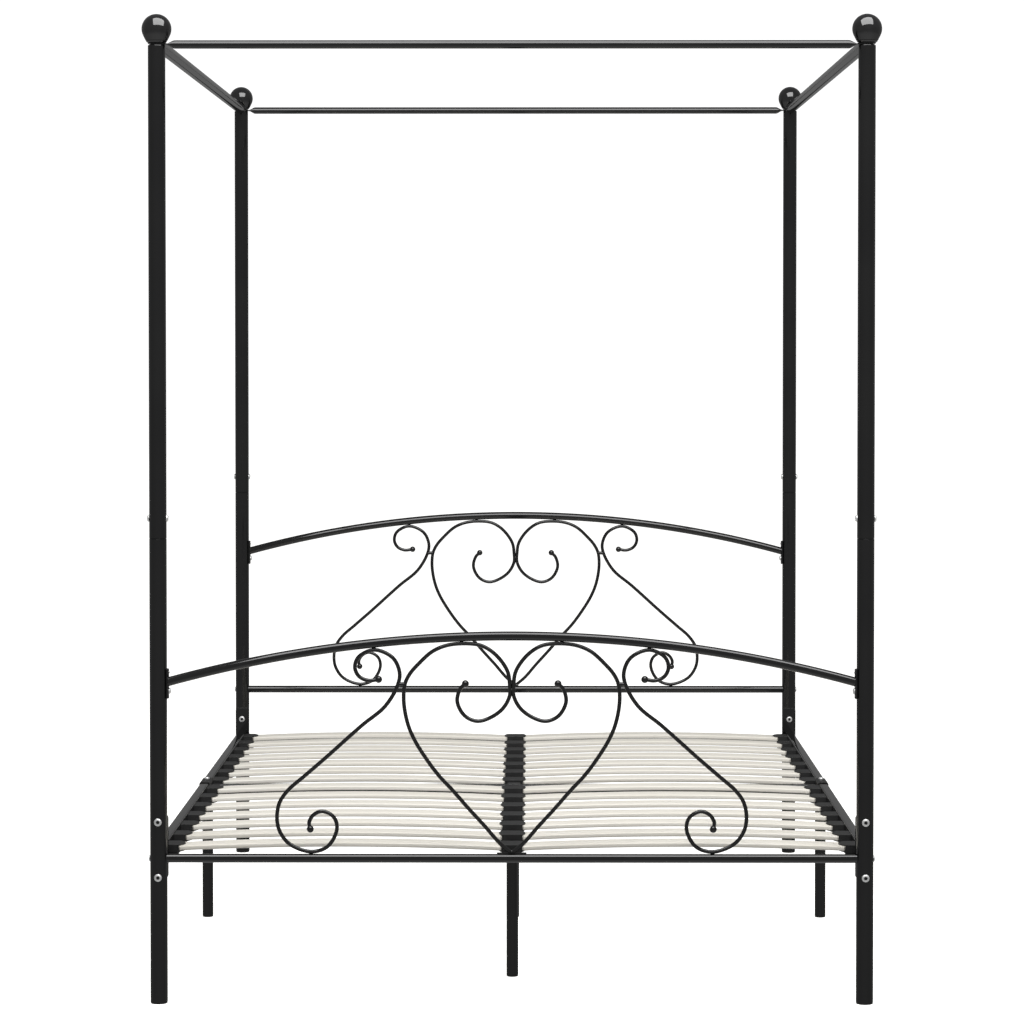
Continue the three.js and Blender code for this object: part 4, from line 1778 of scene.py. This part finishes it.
@dataclass
class Studio:
    """Pale paper floor, one wide soft ceiling light and the camera."""

    floor_size: float = 60.0
    light_size: tuple[float, float] = (3.84, 2.96)
    light_place: tuple[float, float, float] = (0.3, -1.97, 4.15)
    light_turn: tuple[float, float] = (45.0, 8.5)  # tilt and yaw in degrees
    light_power: float = 230.0
    front_surround: float = 0.34
    back_surround: float = 0.20
    low_surround: float = 0.80  # what comes up from the paper
    backdrop: float = 1.1
    lens: float = 120.87
    shift: float = -0.08
    camera_place: tuple[float, float, float] = (0.0343, -7.9303, 1.3506)
    camera_turn: tuple[float, float] = (-1.5895, 0.2787)  # pitch and yaw in degrees

    def build(self) -> None:
        """Sets the whole studio up."""
        self._floor()
        self._light()
        self._world()
        self._camera()
        bpy.context.scene.view_settings.view_transform = "Standard"

    def _floor(self) -> None:
        """Paper floor that neither shows in the glossy coat nor lights the bed from below."""
        bm = bmesh.new()
        bmesh.ops.create_grid(bm, x_segments=1, y_segments=1, size=self.floor_size / 2)
        mesh = bpy.data.meshes.new("studio_floor")
        bm.to_mesh(mesh)
        bm.free()
        mesh.materials.append(StudioPaper().make())
        floor = bpy.data.objects.new("studio_floor", mesh)
        bpy.context.scene.collection.objects.link(floor)
        floor.visible_glossy = False
        floor.visible_diffuse = False

    def _light(self) -> None:
        """Wide soft panel above the foot end."""
        data = bpy.data.lights.new("ceiling_panel", "AREA")
        data.shape = "RECTANGLE"
        data.size, data.size_y = self.light_size
        data.energy = self.light_power
        panel = bpy.data.objects.new("ceiling_panel", data)
        tilt, yaw = (math.radians(turn) for turn in self.light_turn)
        panel.location = self.light_place
        panel.rotation_euler = (tilt, 0.0, yaw)
        panel.visible_camera = False
        bpy.context.scene.collection.objects.link(panel)

    def _world(self) -> None:
        """White backdrop behind the bed, and a dim even surround for its reflections."""
        world = bpy.data.worlds.new("studio_world")
        world.use_nodes = True
        tree = world.node_tree
        tree.nodes.clear()
        path = add_node(tree, "ShaderNodeLightPath")
        way = add_node(tree, "ShaderNodeTexCoord").outputs["Generated"]
        axes = add_node(tree, "ShaderNodeSeparateXYZ", inputs={"Vector": way}).outputs
        level = add_node(
            tree,
            "ShaderNodeMapRange",
            inputs={
                "Value": axes["Y"],
                "From Min": -1.0,
                "From Max": 1.0,
                "To Min": self.front_surround,
                "To Max": self.back_surround,
            },
        )
        below = add_node(
            tree,
            "ShaderNodeMapRange",
            inputs={"Value": axes["Z"], "From Min": -1.0, "From Max": -0.35, "To Min": 1.0, "To Max": 0.0},
        )
        surround = add_node(
            tree,
            "ShaderNodeMix",
            inputs={0: below.outputs["Result"], 2: level.outputs["Result"], 3: self.low_surround},
        )
        dim = add_node(tree, "ShaderNodeBackground", inputs={"Strength": surround.outputs[0]})
        white = add_node(tree, "ShaderNodeBackground", inputs={"Strength": self.backdrop})
        for node in (dim, white):
            node.inputs["Color"].default_value = (1.0, 1.0, 1.0, 1.0)
        mix = add_node(
            tree,
            "ShaderNodeMixShader",
            inputs={0: path.outputs["Is Camera Ray"], 1: dim.outputs[0], 2: white.outputs[0]},
        )
        add_node(tree, "ShaderNodeOutputWorld", inputs={"Surface": mix.outputs[0]})
        bpy.context.scene.world = world

    def _camera(self) -> None:
        """Long lens at chest height, a little right of the bed's middle."""
        data = bpy.data.cameras.new("studio_camera")
        data.sensor_width = 36.0
        data.lens = self.lens
        data.shift_y = self.shift
        data.clip_end = 200.0
        camera = bpy.data.objects.new("studio_camera", data)
        pitch, yaw = (math.radians(turn) for turn in self.camera_turn)
        camera.location = self.camera_place
        camera.rotation_euler = (math.pi / 2 + pitch, 0.0, yaw)
        bpy.context.scene.collection.objects.link(camera)
        bpy.context.scene.camera = camera


# ---- The bed ------------------------------------------------------------------------------

SLAT_ROWS = 14
END_CANOPY_DIA = 17.0
SIDE_CANOPY_DIA = 25.0
CLEARANCE = 0.3  # between pieces that touch


def slat_rows() -> list[float]:
    """Middle of each row of slats, read off the frame."""
    rows = []
    for row in range(1, SLAT_ROWS + 1):
        low, high = node_box(f"left_slat_{row:02d}")
        rows.append((low.y + high.y) / 2)
    return rows


def build_posts_and_canopy(shop: Workshop) -> dict[End, Post]:
    """Builds the posts, finials and canopy rails.

    Args:
        shop: Takes the finished pieces.

    Returns:
        The left post of each end.
    """
    left_posts = {}
    rail_heights = {End.FOOT: [294.0], End.HEAD: [294.0, 426.0]}
    rail_top_z = node_box("left_canopy_rail")[1].z
    clamp_z = rail_top_z - SIDE_CANOPY_DIA / 2 + CanopyRail.tab_thickness / 2 + CLEARANCE
    for end in End:
        for side in Side:
            post = Post(end, side)
            post.build(shop, rail_heights[end])
            Finial(post).build(shop, clamp_z)
            if side is Side.LEFT:
                left_posts[end] = post
        CanopyRail(f"{end.label}_canopy_rail", f"{end.label}_canopy_tube", X_AXIS, END_CANOPY_DIA).build(shop)
    for side in Side:
        rail = CanopyRail(f"{side.label}_canopy_rail", f"{side.label}_canopy_tube", Y_AXIS, SIDE_CANOPY_DIA)
        rail.build(shop)
    return left_posts


def build_panels(shop: Workshop, left_posts: dict[End, Post]) -> None:
    """Builds the head and foot panels.

    Args:
        shop: Takes the finished pieces.
        left_posts: The left post of each end.
    """
    for end, post in left_posts.items():
        node = f"{end.label}board_straight_rail"
        StraightRail(node, f"{end.label}board_straight_tube", post.radius, abs(post.x)).build(shop)
        arch = ArchedRail(end, post)
        arch.build(shop)
        low, high = node_box(node)
        Scrollwork(arch, (low.z + high.z) / 2).build(shop)
    post = left_posts[End.HEAD]
    StraightRail("head_base_rail", "head_base_tube", post.radius, abs(post.x)).build(shop)


def build_base(shop: Workshop) -> None:
    """Builds the side rails, centre beam, legs and slats."""
    rows = slat_rows()
    rails = [SideRail(side) for side in Side]
    for rail in rails:
        rail.build(shop, rows)
    CentreBeam().build(shop, rows)
    MiddleSupport().build(shop, rails[0])
    for place in ("foot", "middle"):
        node = f"centre_leg_{place}"
        low, high = node_box(node)
        leg = Leg(f"{node}_tube", (low.x + high.x) / 2, (low.y + high.y) / 2, high.z)
        leg.build(shop, replaces=[node])
    for side in Side:
        for row in range(1, SLAT_ROWS + 1):
            Slat(side, row).build(shop)


def main() -> None:
    """Builds the bed and the studio."""
    logging.basicConfig(level=logging.INFO, format="%(message)s")
    shop = Workshop()
    left_posts = build_posts_and_canopy(shop)
    build_panels(shop, left_posts)
    build_base(shop)
    Studio().build()
    log.info("%d pieces", shop.made)


if __name__ == "__main__":
    main()
